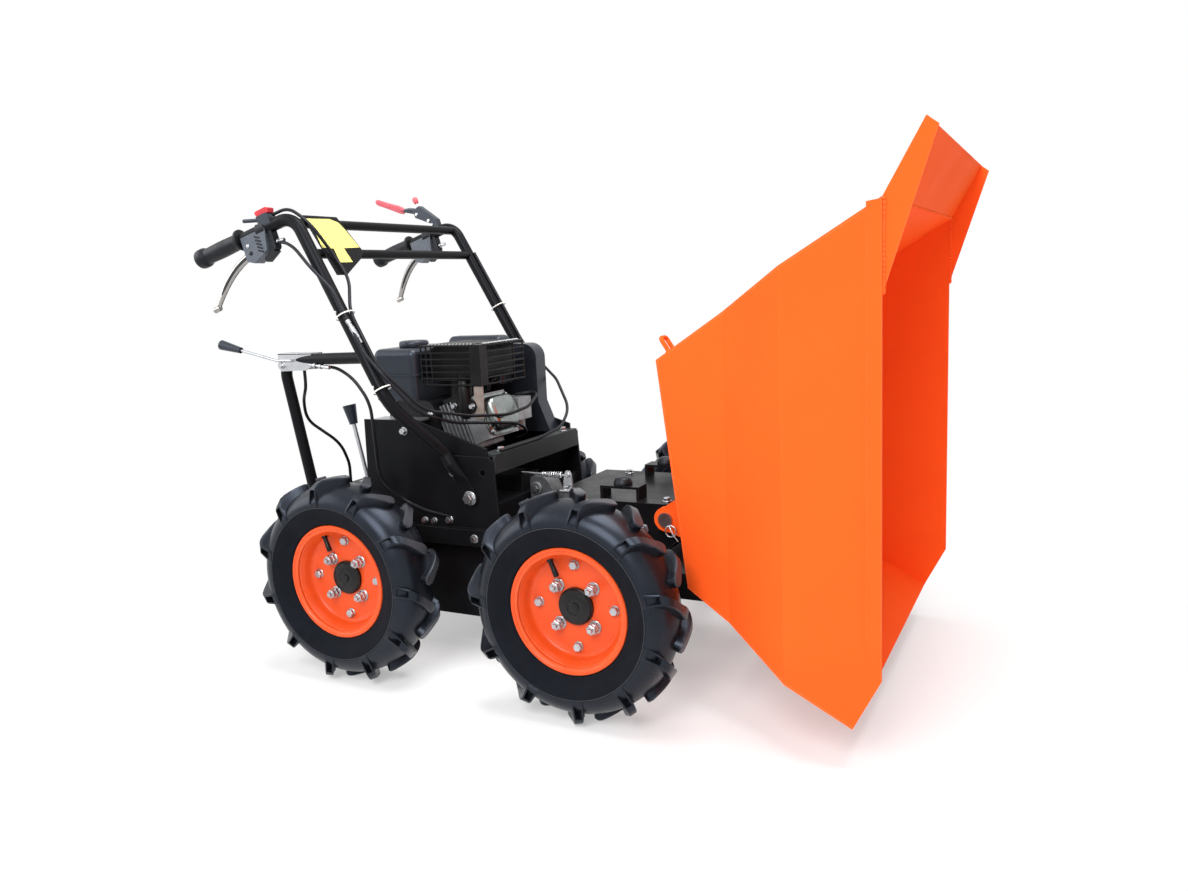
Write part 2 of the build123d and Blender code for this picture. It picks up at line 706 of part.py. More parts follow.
def skip_outline(amount):
    """Back top, floor back, floor front and lip of the skip, set in by a sheet thickness."""
    back_top = (SKIP_RIM_BACK_X, SKIP_RIM_BACK_Z)
    floor_back = (SKIP_FLOOR_BACK, SKIP_FLOOR)
    floor_front = (SKIP_FLOOR_FRONT, SKIP_FLOOR)
    lip = (SKIP_LIP_X, SKIP_LIP_Z)
    back_shift = inset(back_top, floor_back, amount)
    front_shift = inset(floor_front, lip, amount)
    floor = SKIP_FLOOR + amount
    lean = back_slope()
    front_slope = (lip[0] - floor_front[0]) / (lip[1] - floor_front[1])
    shifted = (back_top[0] + back_shift[0], back_top[1] + back_shift[1])
    new_lip = (lip[0] + front_shift[0], lip[1] + front_shift[1])
    new_floor_back = (shifted[0] + (floor - shifted[1]) * lean, floor)
    new_floor_front = (new_lip[0] + (floor - new_lip[1]) * front_slope, floor)
    rim_fall = rim_slope()
    offset = shifted[0] - lean * shifted[1]
    top_z = (SKIP_RIM_BACK_Z + rim_fall * (offset - SKIP_RIM_BACK_X)) / (1 - rim_fall * lean)
    new_back_top = (offset + lean * top_z, top_z)
    return new_back_top, new_floor_back, new_floor_front, new_lip


def skip_section(amount):
    """Cross-section of the folded sides as one long bar, set in by a sheet thickness."""
    run = (SKIP_RIM_FRONT_X - SKIP_RIM_BACK_X, SKIP_RIM_FRONT_Z - SKIP_RIM_BACK_Z)
    length = math.hypot(*run)
    along = Vector(run[0] / length, 0, run[1] / length)
    start = Vector(SKIP_RIM_BACK_X, 0, SKIP_RIM_BACK_Z) - along * length
    height = SKIP_RIM_BACK_Z - SKIP_FLOOR
    lower_rise = height * SKIP_LOWER_FOLD_SHARE
    upper_drop = height * (1 - SKIP_UPPER_FOLD_SHARE)
    depth = height + length / 2
    spread = (SKIP_LOWER_FOLD_HALF - SKIP_FLOOR_HALF) / lower_rise
    bottom_half = SKIP_FLOOR_HALF - spread * length / 2
    left = [
        (SKIP_RIM_HALF - amount, length / 2),
        (SKIP_RIM_HALF - amount, 0),
        (SKIP_UPPER_FOLD_HALF - amount, -upper_drop),
        (SKIP_LOWER_FOLD_HALF - amount, lower_rise - height),
        (bottom_half - amount, -depth),
    ]
    right = [(-y, z) for y, z in reversed(left)]
    plane = Plane(origin=start, x_dir=(0, 1, 0), z_dir=along)
    return extrude(plane * make_face(Polyline(*left, *right, close=True)), amount=3 * length)


def skip_hem():
    """Folded strip along the outside of the right rim, cut off at a slant near the front."""
    slope = rim_slope()
    back = SKIP_RIM_BACK_X + SKIP_SHEET
    top = SKIP_RIM_BACK_Z + SKIP_SHEET * slope
    cut = 3 * SKIP_HEM
    outline = [
        (back, top),
        (back, top - SKIP_HEM),
        (SKIP_RIM_FRONT_X - cut, SKIP_RIM_FRONT_Z - cut * slope - SKIP_HEM),
        (SKIP_RIM_FRONT_X, SKIP_RIM_FRONT_Z),
    ]
    return side_sheet(outline, SKIP_RIM_HALF, SKIP_RIM_HALF + SKIP_HEM_SHEET)


def skip_panels():
    """Floor, back, front and the two folded sides of the skip, lowered on its stops."""
    outer = skip_outline(0)
    inner = skip_outline(SKIP_SHEET)
    prism = skip_section(0)
    hollow = skip_section(SKIP_SHEET)
    wide = 2 * SKIP_RIM_HALF
    floor = side_sheet([outer[1], outer[2], inner[2], inner[1]], -wide, wide) & prism
    back = side_sheet([outer[0], outer[1], inner[1], inner[0]], -wide, wide) & prism
    front = side_sheet([outer[2], outer[3], inner[3], inner[2]], -wide, wide) & prism
    bow = (SKIP_RIM_FRONT_X, SKIP_RIM_FRONT_Z)
    right = side_sheet([inner[0], inner[1], inner[2], inner[3], bow], 0, wide) & (prism - hollow)
    right = right + skip_hem()
    return floor, back, front, right, mirror(right, about=Plane.XZ)


def skip_guard():
    """Leaning plate behind the rim with a triangular cheek at each end."""
    foot = (SKIP_RIM_BACK_X, SKIP_RIM_BACK_Z)
    top = (foot[0] + GUARD_RISE_X, foot[1] + GUARD_RISE_Z)
    thick = inset(top, foot, SKIP_SHEET)
    half = SKIP_RIM_HALF
    section = [foot, top, (top[0] + thick[0], top[1] + thick[1]), (foot[0] + thick[0], foot[1] + thick[1])]
    plate = side_sheet(section, -half, half)
    slope = rim_slope()
    end = (foot[0] + GUARD_CHEEK, foot[1] + GUARD_CHEEK * slope)
    nose = (top[0] + GUARD_CHEEK_NOSE, top[1] + GUARD_CHEEK_NOSE)
    cheek = side_sheet([foot, top, nose, end], half - SKIP_SHEET, half)
    reach = 2 * GUARD_CHEEK
    above_rim = [
        (foot[0] - reach, foot[1] - reach * slope),
        (foot[0] + reach, foot[1] + reach * slope),
        (foot[0] + reach, foot[1] + reach),
        (foot[0] - reach, foot[1] + reach),
    ]
    trim = side_sheet(above_rim, -2 * half, 2 * half)
    return (plate + cheek + mirror(cheek, about=Plane.XZ)) & trim


def skip_lugs():
    """Two hinge lugs under the floor with an eye for the hinge pin."""
    inner = FRONT_FRAME_HALF_WIDTH + LUG_GAP
    y = (inner, inner + LUG_PLATE)
    outline = [
        (HINGE_X - LUG_SPREAD, SKIP_FLOOR),
        (HINGE_X - LUG_EYE_RADIUS, HINGE_Z),
        (HINGE_X + LUG_EYE_RADIUS, HINGE_Z),
        (HINGE_X + LUG_SPREAD, SKIP_FLOOR),
    ]
    lug = side_sheet(outline, *y) + cross_rod(HINGE_X, HINGE_Z, *y, LUG_EYE_RADIUS)
    through = (inner - LUG_PLATE, inner + 2 * LUG_PLATE)
    bore = cross_rod(HINGE_X, HINGE_Z, *through, HINGE_PIN_RADIUS + RUNNING_GAP)
    return both_sides(lug - bore)


def skip_latch_loop(back):
    """Bent rod on the back wall, near the floor, that the latch would hold."""
    wall_x = SKIP_FLOOR_BACK + back_slope() * LOOP_HEIGHT
    wall_z = SKIP_FLOOR + LOOP_HEIGHT
    low_z = wall_z - LOOP_HEIGHT / 2
    points = [
        (wall_x, LOOP_Y - LOOP_HALF, wall_z),
        (wall_x - LOOP_REACH, LOOP_Y - LOOP_HALF, low_z),
        (wall_x - LOOP_REACH, LOOP_Y + LOOP_HALF, low_z),
        (wall_x, LOOP_Y + LOOP_HALF, wall_z),
    ]
    return bent_tube(points, 1.5 * LOOP_RADIUS, LOOP_RADIUS) - back


def handle_path():
    """Middle line of the right handle tube from the side plate to the grip."""
    foot_y = PLATE_OUTER + TUBE_RADIUS + RUNNING_GAP
    run = Vector(HANDLE_LOW_X - BLADE_FOOT_X, 0, HANDLE_LOW_Z - BLADE_FOOT_Z).normalized()
    low = Vector(HANDLE_LOW_X, foot_y, HANDLE_LOW_Z)
    knee = (HANDLE_KNEE_X, HANDLE_KNEE_HALF, HANDLE_KNEE_Z)
    return FilletPolyline(
        low - run * TUBE_RADIUS,
        low + run * TUBE_RADIUS,
        knee,
        GRIP_CORNER,
        GRIP_TIP,
        radius=[1.5 * TUBE_RADIUS, KNEE_BEND, HANDLE_BEND],
    )


def handle_blade(path):
    """Flattened lower end of the right handle tube with its round foot."""
    start = path @ 0
    down = -(path % 0)
    flat_y = PLATE_OUTER + BLADE / 2
    neck = Vector(start.X, flat_y, start.Z) + down * BLADE_FLARE
    foot = Vector(BLADE_FOOT_X, flat_y, BLADE_FOOT_Z)
    round_end = Plane(origin=start, x_dir=(0, 1, 0), z_dir=down) * Circle(TUBE_RADIUS)
    flat_end = Plane(origin=neck, x_dir=(0, 1, 0), z_dir=down) * Rectangle(BLADE, BLADE_WIDTH)
    side = Vector(down.Z, 0, -down.X) * (BLADE_WIDTH / 2)
    corners = [(p.X, p.Z) for p in (neck - side, neck + side, foot + side, foot - side)]
    y = (PLATE_OUTER, PLATE_OUTER + BLADE)
    flat = side_sheet(corners, *y) + cross_rod(foot.X, foot.Z, *y, BLADE_WIDTH / 2)
    return loft([round_end, flat_end]) + flat


def handlebar():
    """Welded handlebar: two tubes with flattened feet and two cross-bars."""
    path = handle_path()
    start = Plane(origin=path @ 0, z_dir=path % 0)
    right = sweep(start * Circle(TUBE_RADIUS), path=path) + handle_blade(path)
    frame = right + mirror(right, about=Plane.XZ)
    for share in (UPPER_BAR_SHARE, LOWER_BAR_SHARE):
        end = path @ share
        frame = frame + cross_rod(end.X, end.Z, -end.Y, end.Y, BAR_RADIUS)
    return frame


def grips():
    """Rubber grips over the tube ends, each with a collar and a rounded end."""
    bore = TUBE_RADIUS + RUNNING_GAP
    outline = [
        (bore, -GRIP_LENGTH),
        (GRIP_COLLAR_RADIUS, -GRIP_LENGTH),
        (GRIP_COLLAR_RADIUS, GRIP_COLLAR - GRIP_LENGTH),
        (GRIP_RADIUS, 1.6 * GRIP_COLLAR - GRIP_LENGTH),
        (GRIP_RADIUS, -GRIP_END),
        (GRIP_RADIUS + RIM_SHEET, -GRIP_END / 2),
        (GRIP_RADIUS + RIM_SHEET, GRIP_END / 3),
        (GRIP_RADIUS - RIM_SHEET, GRIP_END),
        (0, GRIP_END),
        (0, RUNNING_GAP),
        (bore, RUNNING_GAP),
    ]
    place = Plane(origin=GRIP_TIP, x_dir=GRIP_RUN.z_dir, z_dir=GRIP_ALONG)
    grip = revolve(Plane.XZ * make_face(Polyline(*outline, close=True)), axis=Axis.Z)
    return both_sides(place.location * grip)


def bar_plane(path):
    """Plane that touches the front of both cross-bars, its Y pointing down them."""
    high = path @ UPPER_BAR_SHARE
    low = path @ LOWER_BAR_SHARE
    down = Vector(low.X - high.X, 0, low.Z - high.Z).normalized()
    ahead = Vector(-down.Z, 0, down.X)
    return Plane(origin=Vector(high.X, 0, high.Z) + ahead * BAR_RADIUS, x_dir=(0, 1, 0), z_dir=ahead)


def control_panel():
    """Pointed sheet on the front of the cross-bars, beside the right tube."""
    path = handle_path()
    plane = bar_plane(path)
    high = path @ UPPER_BAR_SHARE
    low = path @ LOWER_BAR_SHARE
    pitch = math.hypot(low.X - high.X, low.Z - high.Z)
    third = (PANEL_RIGHT - PANEL_LEFT) / 6
    outline = [
        (PANEL_RIGHT, PANEL_TOP),
        (PANEL_LEFT + third, PANEL_TOP),
        (PANEL_LEFT, -pitch),
        (PANEL_LEFT + third, -pitch - third),
        (PANEL_RIGHT - 1.5 * third, -pitch - PANEL_TIP),
        (PANEL_RIGHT, -pitch - PANEL_TIP),
    ]
    return extrude(plane * make_face(Polyline(*outline, close=True)), amount=PANEL_SHEET)


def lever_housing():
    """Right lever housing clamped under the grip run."""
    length = HOUSING_END - HOUSING_START
    outline = [
        (HOUSING_START, -RUNNING_GAP),
        (HOUSING_END, -RUNNING_GAP),
        (HOUSING_END, -0.85 * HOUSING_DEPTH),
        (HOUSING_END - 0.25 * length, -HOUSING_DEPTH),
        (HOUSING_START + 0.15 * length, -0.75 * HOUSING_DEPTH),
    ]
    return grip_sheet(outline, HOUSING_HALF) - grip_clearance()


def clutch_lever():
    """Right hand lever that hangs from its housing and ends in a ball."""
    start = grip_point(HOUSING_END - 0.3 * (HOUSING_END - HOUSING_START), -0.8 * HOUSING_DEPTH, 0)
    tip = Vector(LEVER_TIP_X, LEVER_TIP_Y, LEVER_TIP_Z)
    span = tip - start
    middle = start + span * 0.42 + Vector(-0.04, 0, 0.09) * span.length
    lever = bent_tube([start, middle, tip], 0.6 * span.length, LEVER_RADIUS)
    return lever + Pos(*tip) * Sphere(LEVER_BALL_RADIUS) - lever_housing()


def stop_switch_base():
    """Black switch base on top of the right tube with a small thumb lever."""
    end = SWITCH_START + SWITCH_LENGTH
    slope = SWITCH_START + SWITCH_CAP / 2
    block = [(SWITCH_START, RUNNING_GAP), (end, RUNNING_GAP), (end, SWITCH_TOP), (slope, SWITCH_TOP)]
    lever = straight_rod(
        grip_point(end - SWITCH_CAP / 2, 0.7 * SWITCH_TOP, 0),
        grip_point(end + 1.3 * SWITCH_LENGTH, 1.3 * SWITCH_TOP, 0),
        THROTTLE_ROD_RADIUS,
    )
    return grip_sheet(block, SWITCH_HALF) - grip_clearance() + lever


def stop_switch():
    """Wide red push button on the switch base."""
    end = SWITCH_START + SWITCH_LENGTH
    top = SWITCH_TOP + SWITCH_CAP
    cap = [
        (SWITCH_START + SWITCH_CAP / 4, SWITCH_TOP),
        (end, SWITCH_TOP),
        (end + SWITCH_CAP / 3, top - SWITCH_CAP / 4),
        (end, top),
        (SWITCH_START + SWITCH_CAP / 2, top),
        (SWITCH_START, top - SWITCH_CAP / 3),
    ]
    return grip_sheet(cap, SWITCH_CAP_HALF)


def throttle_body():
    """Black throttle clamp on the left tube with the quadrant behind it, drawn on the right."""
    outline = [
        (THROTTLE_START, 0),
        (THROTTLE_START + 18, 0),
        (THROTTLE_START + 22, 26),
        (THROTTLE_START + 64, 56),
        (THROTTLE_START + 64, 76),
        (THROTTLE_START + 42, 80),
        (THROTTLE_START, 30),
    ]
    arm = straight_rod(
        grip_point(THROTTLE_START + 60, 68, 0),
        grip_point(THROTTLE_START + 105, 92, 0),
        THROTTLE_ROD_RADIUS,
    )
    return grip_sheet(outline, THROTTLE_HALF) - grip_clearance() + arm


def throttle_lever():
    """Red throttle handle and the red choke knob, drawn on the right."""
    foot = grip_point(THROTTLE_START + 105, 92, 0)
    tip = grip_point(THROTTLE_START + 180, 145, 0)
    handle = tapered_rod(foot, tip, 0.8 * THROTTLE_GRIP_RADIUS, THROTTLE_GRIP_RADIUS)
    body = throttle_body()
    stem_foot = grip_point(THROTTLE_START + 50, 76, 0)
    stem_top = grip_point(THROTTLE_START + 53, 98, 0)
    stem = straight_rod(stem_foot, stem_top, CHOKE_KNOB_RADIUS / 2)
    knob = stem + Pos(*stem_top) * Sphere(CHOKE_KNOB_RADIUS)
    return Compound([*(handle - body).solids(), *(knob - body).solids()])


def rear_post(handle):
    """Post from the rear shelf that bends over and runs forward into the right handle tube."""
    share = (POST_JOIN_Z - HANDLE_KNEE_Z) / (HANDLE_TOP_Z - HANDLE_KNEE_Z)
    knee = Vector(HANDLE_KNEE_X, HANDLE_KNEE_HALF, HANDLE_KNEE_Z)
    join = knee + (GRIP_CORNER - knee) * share
    foot = (POST_FOOT_X, POST_FOOT_Y, DECK_TOP)
    points = [join, (POST_TOP_X, POST_TOP_Y, POST_TOP_Z), foot]
    post = bent_tube(points, POST_BEND, POST_RADIUS)
    base_x = (POST_FOOT_X - POST_PLATE_HALF, POST_FOOT_X + POST_PLATE_HALF)
    base_y = (POST_FOOT_Y - POST_PLATE_HALF, POST_FOOT_Y + POST_PLATE_HALF)
    below = slab(base_x, base_y, (DECK_TOP - 2 * POST_RADIUS, DECK_TOP))
    return post + slab(base_x, base_y, (DECK_TOP, DECK_TOP + POST_PLATE)) - below - handle


def lever_bracket(post):
    """Zinc channel under the arm of the post that holds the lock lever."""
    x = (BRACKET_END - BRACKET_LENGTH, BRACKET_END)
    y = (POST_TOP_Y - BRACKET_HALF, POST_TOP_Y + BRACKET_HALF)
    return slab(x, y, (POST_TOP_Z - BRACKET_DROP, POST_TOP_Z + POST_RADIUS / 2)) - post


def lever_runs():
    """Foot, knob foot and knob end of the lock lever and of the gear lever."""
    side = POST_TOP_Y + BRACKET_HALF + LOCK_ROD_RADIUS
    lock_foot = Vector(BRACKET_END - BRACKET_LENGTH, side, POST_TOP_Z)
    lock_knob = Vector(LOCK_KNOB_X, side, LOCK_KNOB_Z)
    lock_end = lock_knob + (lock_knob - lock_foot).normalized() * LOCK_KNOB_LENGTH
    gear_foot = Vector(GEAR_FOOT_X, GEAR_Y, DECK_TOP)
    gear_knob = Vector(GEAR_KNOB_X, GEAR_Y, GEAR_KNOB_Z)
    gear_end = gear_knob + (gear_knob - gear_foot).normalized() * GEAR_KNOB_LENGTH
    return (lock_foot, lock_knob, lock_end), (gear_foot, gear_knob, gear_end)


def lever_rods():
    """Bent rod of the lock lever beside its bracket, and the gear lever on the rear shelf."""
    lock, gear = lever_runs()
    start = lock[0] + Vector(0.45 * BRACKET_LENGTH, 0, 0)
    lock_rod = bent_tube([start, lock[0], lock[1]], BRACKET_DROP, LOCK_ROD_RADIUS)
    half = 3 * GEAR_ROD_RADIUS
    x = (GEAR_FOOT_X - half, GEAR_FOOT_X + half)
    y = (GEAR_Y - half, GEAR_Y + half)
    gear_rod = straight_rod(gear[0] - (gear[1] - gear[0]) * 0.1, gear[1], GEAR_ROD_RADIUS)
    gear_rod = gear_rod + slab(x, y, (DECK_TOP, DECK_TOP + GEAR_ROD_RADIUS))
    gear_rod = gear_rod - slab(x, y, (DECK_TOP - 2 * half, DECK_TOP))
    return Compound([*lock_rod.solids(), *gear_rod.solids()])


def lever_knobs():
    """Knobs of the lock lever and the gear lever, each wider towards its end."""
    lock, gear = lever_runs()
    lock_knob = tapered_rod(lock[1], lock[2], 0.6 * LOCK_KNOB_RADIUS, LOCK_KNOB_RADIUS)
    gear_knob = tapered_rod(gear[1], gear[2], 0.6 * GEAR_KNOB_RADIUS, GEAR_KNOB_RADIUS)
    return Compound([*lock_knob.solids(), *gear_knob.solids()])


def cylinder_plane():
    """Middle line of the cylinder, with its X across the machine and its Y up the fins."""
    tilt = math.radians(CYLINDER_TILT)
    along = (math.cos(tilt), 0, math.sin(tilt))
    return Plane(origin=(CYLINDER_X, CYLINDER_Y, CYLINDER_Z), x_dir=(0, 1, 0), z_dir=along)


def engine_crankcase():
    """Crankcase block on the deck."""
    body = slab((ENGINE_REAR, ENGINE_FRONT), (ENGINE_LEFT, ENGINE_RIGHT), (DECK_TOP, ENGINE_TOP))
    return fillet(body.edges().filter_by(Axis.Y).group_by(Axis.Z)[-1], ENGINE_ROUND)


def engine_cylinder(crankcase):
    """Finned cylinder leaning forward out of the crankcase, with its head."""
    stack = FIN_COUNT * FIN_PITCH
    length = stack + HEAD_LENGTH
    block = Pos(0, 0, length / 2) * Box(2 * CYLINDER_CORE, 2 * CYLINDER_CORE, length)
    for index in range(FIN_COUNT):
        fin = Box(2 * FIN_HALF, 2 * FIN_HALF, FIN_SHEET)
        block = block + Pos(0, 0, (index + 0.5) * FIN_PITCH) * fin
    head = Box(2 * FIN_HALF, 1.7 * FIN_HALF, HEAD_LENGTH)
    block = block + Pos(0, 0, stack + HEAD_LENGTH / 2) * head
    return cylinder_plane().location * block - crankcase


def rocker_cover():
    """Pressed cover on the cylinder head."""
    start = FIN_COUNT * FIN_PITCH + HEAD_LENGTH
    cover = Box(2 * ROCKER_HALF_WIDTH, 2 * ROCKER_HALF_HEIGHT, ROCKER_LENGTH)
    cover = Pos(0, 0, start + ROCKER_LENGTH / 2) * cover
    outer = cover.edges().group_by(Axis.Z)[-1] + cover.edges().filter_by(Axis.Z)
    return cylinder_plane().location * fillet(outer, ROCKER_ROUND)


def fuel_tank():
    """Moulded tank with the seam that joins its two halves."""
    body = slab((TANK_REAR, TANK_FRONT), (TANK_LEFT, TANK_RIGHT), (TANK_BOTTOM, TANK_TOP))
    body = fillet(body.edges().filter_by(Axis.Z) + body.edges().group_by(Axis.Z)[-1], TANK_ROUND)
    seam_z = TANK_BOTTOM + (TANK_TOP - TANK_BOTTOM) * TANK_SEAM_SHARE
    edge_x = (TANK_REAR - TANK_SEAM, TANK_FRONT + TANK_SEAM)
    edge_y = (TANK_LEFT - TANK_SEAM, TANK_RIGHT + TANK_SEAM)
    edge = slab(edge_x, edge_y, (seam_z, seam_z + TANK_SEAM))
    return body + fillet(edge.edges().filter_by(Axis.Z), TANK_ROUND + TANK_SEAM)


def fuel_cap():
    """Wide flat cap on the tank."""
    return Pos(CAP_X, CAP_Y, TANK_TOP + CAP_HEIGHT / 2) * Cylinder(CAP_RADIUS, CAP_HEIGHT)


def muffler():
    """Silencer box inside its cage, on a pipe that stands on the cylinder's fins."""
    x = (CAGE_REAR + MUFFLER_GAP, CAGE_FRONT - MUFFLER_GAP)
    y = (CAGE_LEFT + MUFFLER_GAP, CAGE_RIGHT - MUFFLER_GAP)
    bottom = CAGE_BOTTOM + MUFFLER_GAP / 2
    body = slab(x, y, (bottom, CAGE_TOP - CAGE_SHEET))
    body = fillet(body.edges().filter_by(Axis.Y), MUFFLER_ROUND)
    size = EXHAUST_FLANGE_SIZE
    seat = Pos(EXHAUST_Y - CYLINDER_Y, FIN_HALF + EXHAUST_FLANGE / 2, EXHAUST_ALONG)
    flange = cylinder_plane().location * seat * Box(size, EXHAUST_FLANGE, size)
    start = flange.center()
    pipe = straight_rod(start, (start.X, start.Y, bottom + MUFFLER_ROUND), EXHAUST_RADIUS)
    return body + flange + (pipe - cylinder_plane().location * Box(size * 2, 2 * FIN_HALF, size * 8))


def muffler_guard():
    """Wire cage round the silencer with a solid corner and a slotted cover plate."""
    under = CAGE_TOP - CAGE_SHEET
    pitch = (under - CAGE_BOTTOM) / CAGE_WIRES
    cage = slab((CAGE_REAR, CAGE_FRONT), (CAGE_LEFT, CAGE_RIGHT), (under, CAGE_TOP))
    slot = pitch / 2
    depth = 2.5 * pitch
    for index in range(CAGE_SLOTS):
        share = (index + 0.5) / CAGE_SLOTS
        x = CAGE_REAR + share * (CAGE_FRONT - CAGE_REAR - CAGE_CORNER)
        y = CAGE_LEFT + share * (CAGE_RIGHT - CAGE_LEFT - CAGE_CORNER)
        z = (under - CAGE_SHEET, CAGE_TOP + CAGE_SHEET)
        cage = cage - slab((x, x + slot), (CAGE_RIGHT - slot - depth, CAGE_RIGHT - slot), z)
        cage = cage - slab((CAGE_FRONT - slot - depth, CAGE_FRONT - slot), (y, y + slot), z)
    wires = []
    for index in range(CAGE_WIRES):
        z = CAGE_BOTTOM + index * pitch
        corner = (CAGE_FRONT - CAGE_WIRE, CAGE_RIGHT - CAGE_WIRE, z)
        wires.append(straight_rod((CAGE_REAR, CAGE_RIGHT - CAGE_WIRE, z), corner, CAGE_WIRE))
        wires.append(straight_rod(corner, (CAGE_FRONT - CAGE_WIRE, CAGE_LEFT, z), CAGE_WIRE))
    rear = CAGE_REAR + CAGE_WIRE
    uprights = [(rear + step * pitch, CAGE_RIGHT - CAGE_WIRE) for step in range(3)]
    uprights += [(CAGE_FRONT - CAGE_WIRE, CAGE_LEFT + CAGE_WIRE + step * 3 * pitch) for step in range(2)]
    for x, y in uprights:
        wires.append(straight_rod((x, y, CAGE_BOTTOM), (x, y, under + CAGE_SHEET / 2), CAGE_WIRE))
    z = (CAGE_BOTTOM, under)
    side = slab((CAGE_FRONT - CAGE_CORNER, CAGE_FRONT), (CAGE_RIGHT - CAGE_SHEET, CAGE_RIGHT), z)
    face = slab((CAGE_FRONT - CAGE_SHEET, CAGE_FRONT), (CAGE_RIGHT - CAGE_CORNER, CAGE_RIGHT), z)
    return cage.fuse(*wires, side, face)


def muffler_stay():
    """Strip that steadies the silencer on the side of the cylinder head."""
    y = (CYLINDER_Y + FIN_HALF, CYLINDER_Y + FIN_HALF + STAY_SHEET)
    return slab((STAY_X, STAY_X + STAY_WIDTH), y, (STAY_FOOT, CAGE_BOTTOM - 2 * CAGE_WIRE))


def fan_shroud():
    """Moulded fan housing on the left of the crankcase."""
    outline = [
        (SHROUD_REAR, SHROUD_BOTTOM),
        (SHROUD_TOE, SHROUD_BOTTOM),
        (SHROUD_FRONT, SHROUD_STEP),
        (SHROUD_FRONT, SHROUD_TOP),
        (SHROUD_REAR, SHROUD_TOP),
    ]
    body = side_sheet(outline, ENGINE_LEFT - SHROUD_DEPTH, ENGINE_LEFT)
    corners = body.edges().filter_by(Axis.Y).group_by(Axis.Z)[-1]
    return fillet(corners, SHROUD_ROUND)


def air_cleaner():
    """Box of the air cleaner on the inner face of the fan housing."""
    y = (ENGINE_LEFT, ENGINE_LEFT + CLEANER_DEPTH)
    body = slab((CLEANER_REAR, CLEANER_FRONT), y, (CLEANER_BOTTOM, CLEANER_TOP))
    return fillet(body.edges().filter_by(Axis.Z) + body.edges().group_by(Axis.Z)[-1], CLEANER_ROUND)


def carburettor():
    """Cast carburettor with its float bowl on the left of the cylinder's fins."""
    side = CYLINDER_Y - FIN_HALF
    x = (CARBURETTOR_REAR, CARBURETTOR_REAR + CARBURETTOR_LENGTH)
    y = (side - CARBURETTOR_WIDTH, side)
    body = slab(x, y, (CARBURETTOR_BOTTOM, CARBURETTOR_TOP))
    under = Pos(sum(x) / 2, sum(y) / 2, CARBURETTOR_BOTTOM - BOWL_DEPTH / 2)
    return body + under * Cylinder(BOWL_RADIUS, BOWL_DEPTH)


def beside_tube(height, ahead, out):
    """A point beside the rising run of the right tube, ahead of it and to its outside."""
    knee = Vector(HANDLE_KNEE_X, HANDLE_KNEE_HALF, HANDLE_KNEE_Z)
    run = GRIP_CORNER - knee
    front = Vector(run.Z, 0, -run.X).normalized()
    return knee + run * ((height - knee.Z) / run.Z) + front * ahead + Vector(0, out, 0)


def easy_bends(points):
    """The widest bend at each corner of a cable that the runs beside it leave room for."""
    corners = [Vector(*point) for point in points]
    radii = []
    for before, corner, after in zip(corners, corners[1:], corners[2:]):
        room = 0.48 * min((corner - before).length, (after - corner).length)
        turn = max((corner - before).get_angle(after - corner), 1)
        radii.append(min(CABLE_BEND, room / math.tan(math.radians(turn) / 2)))
    return radii


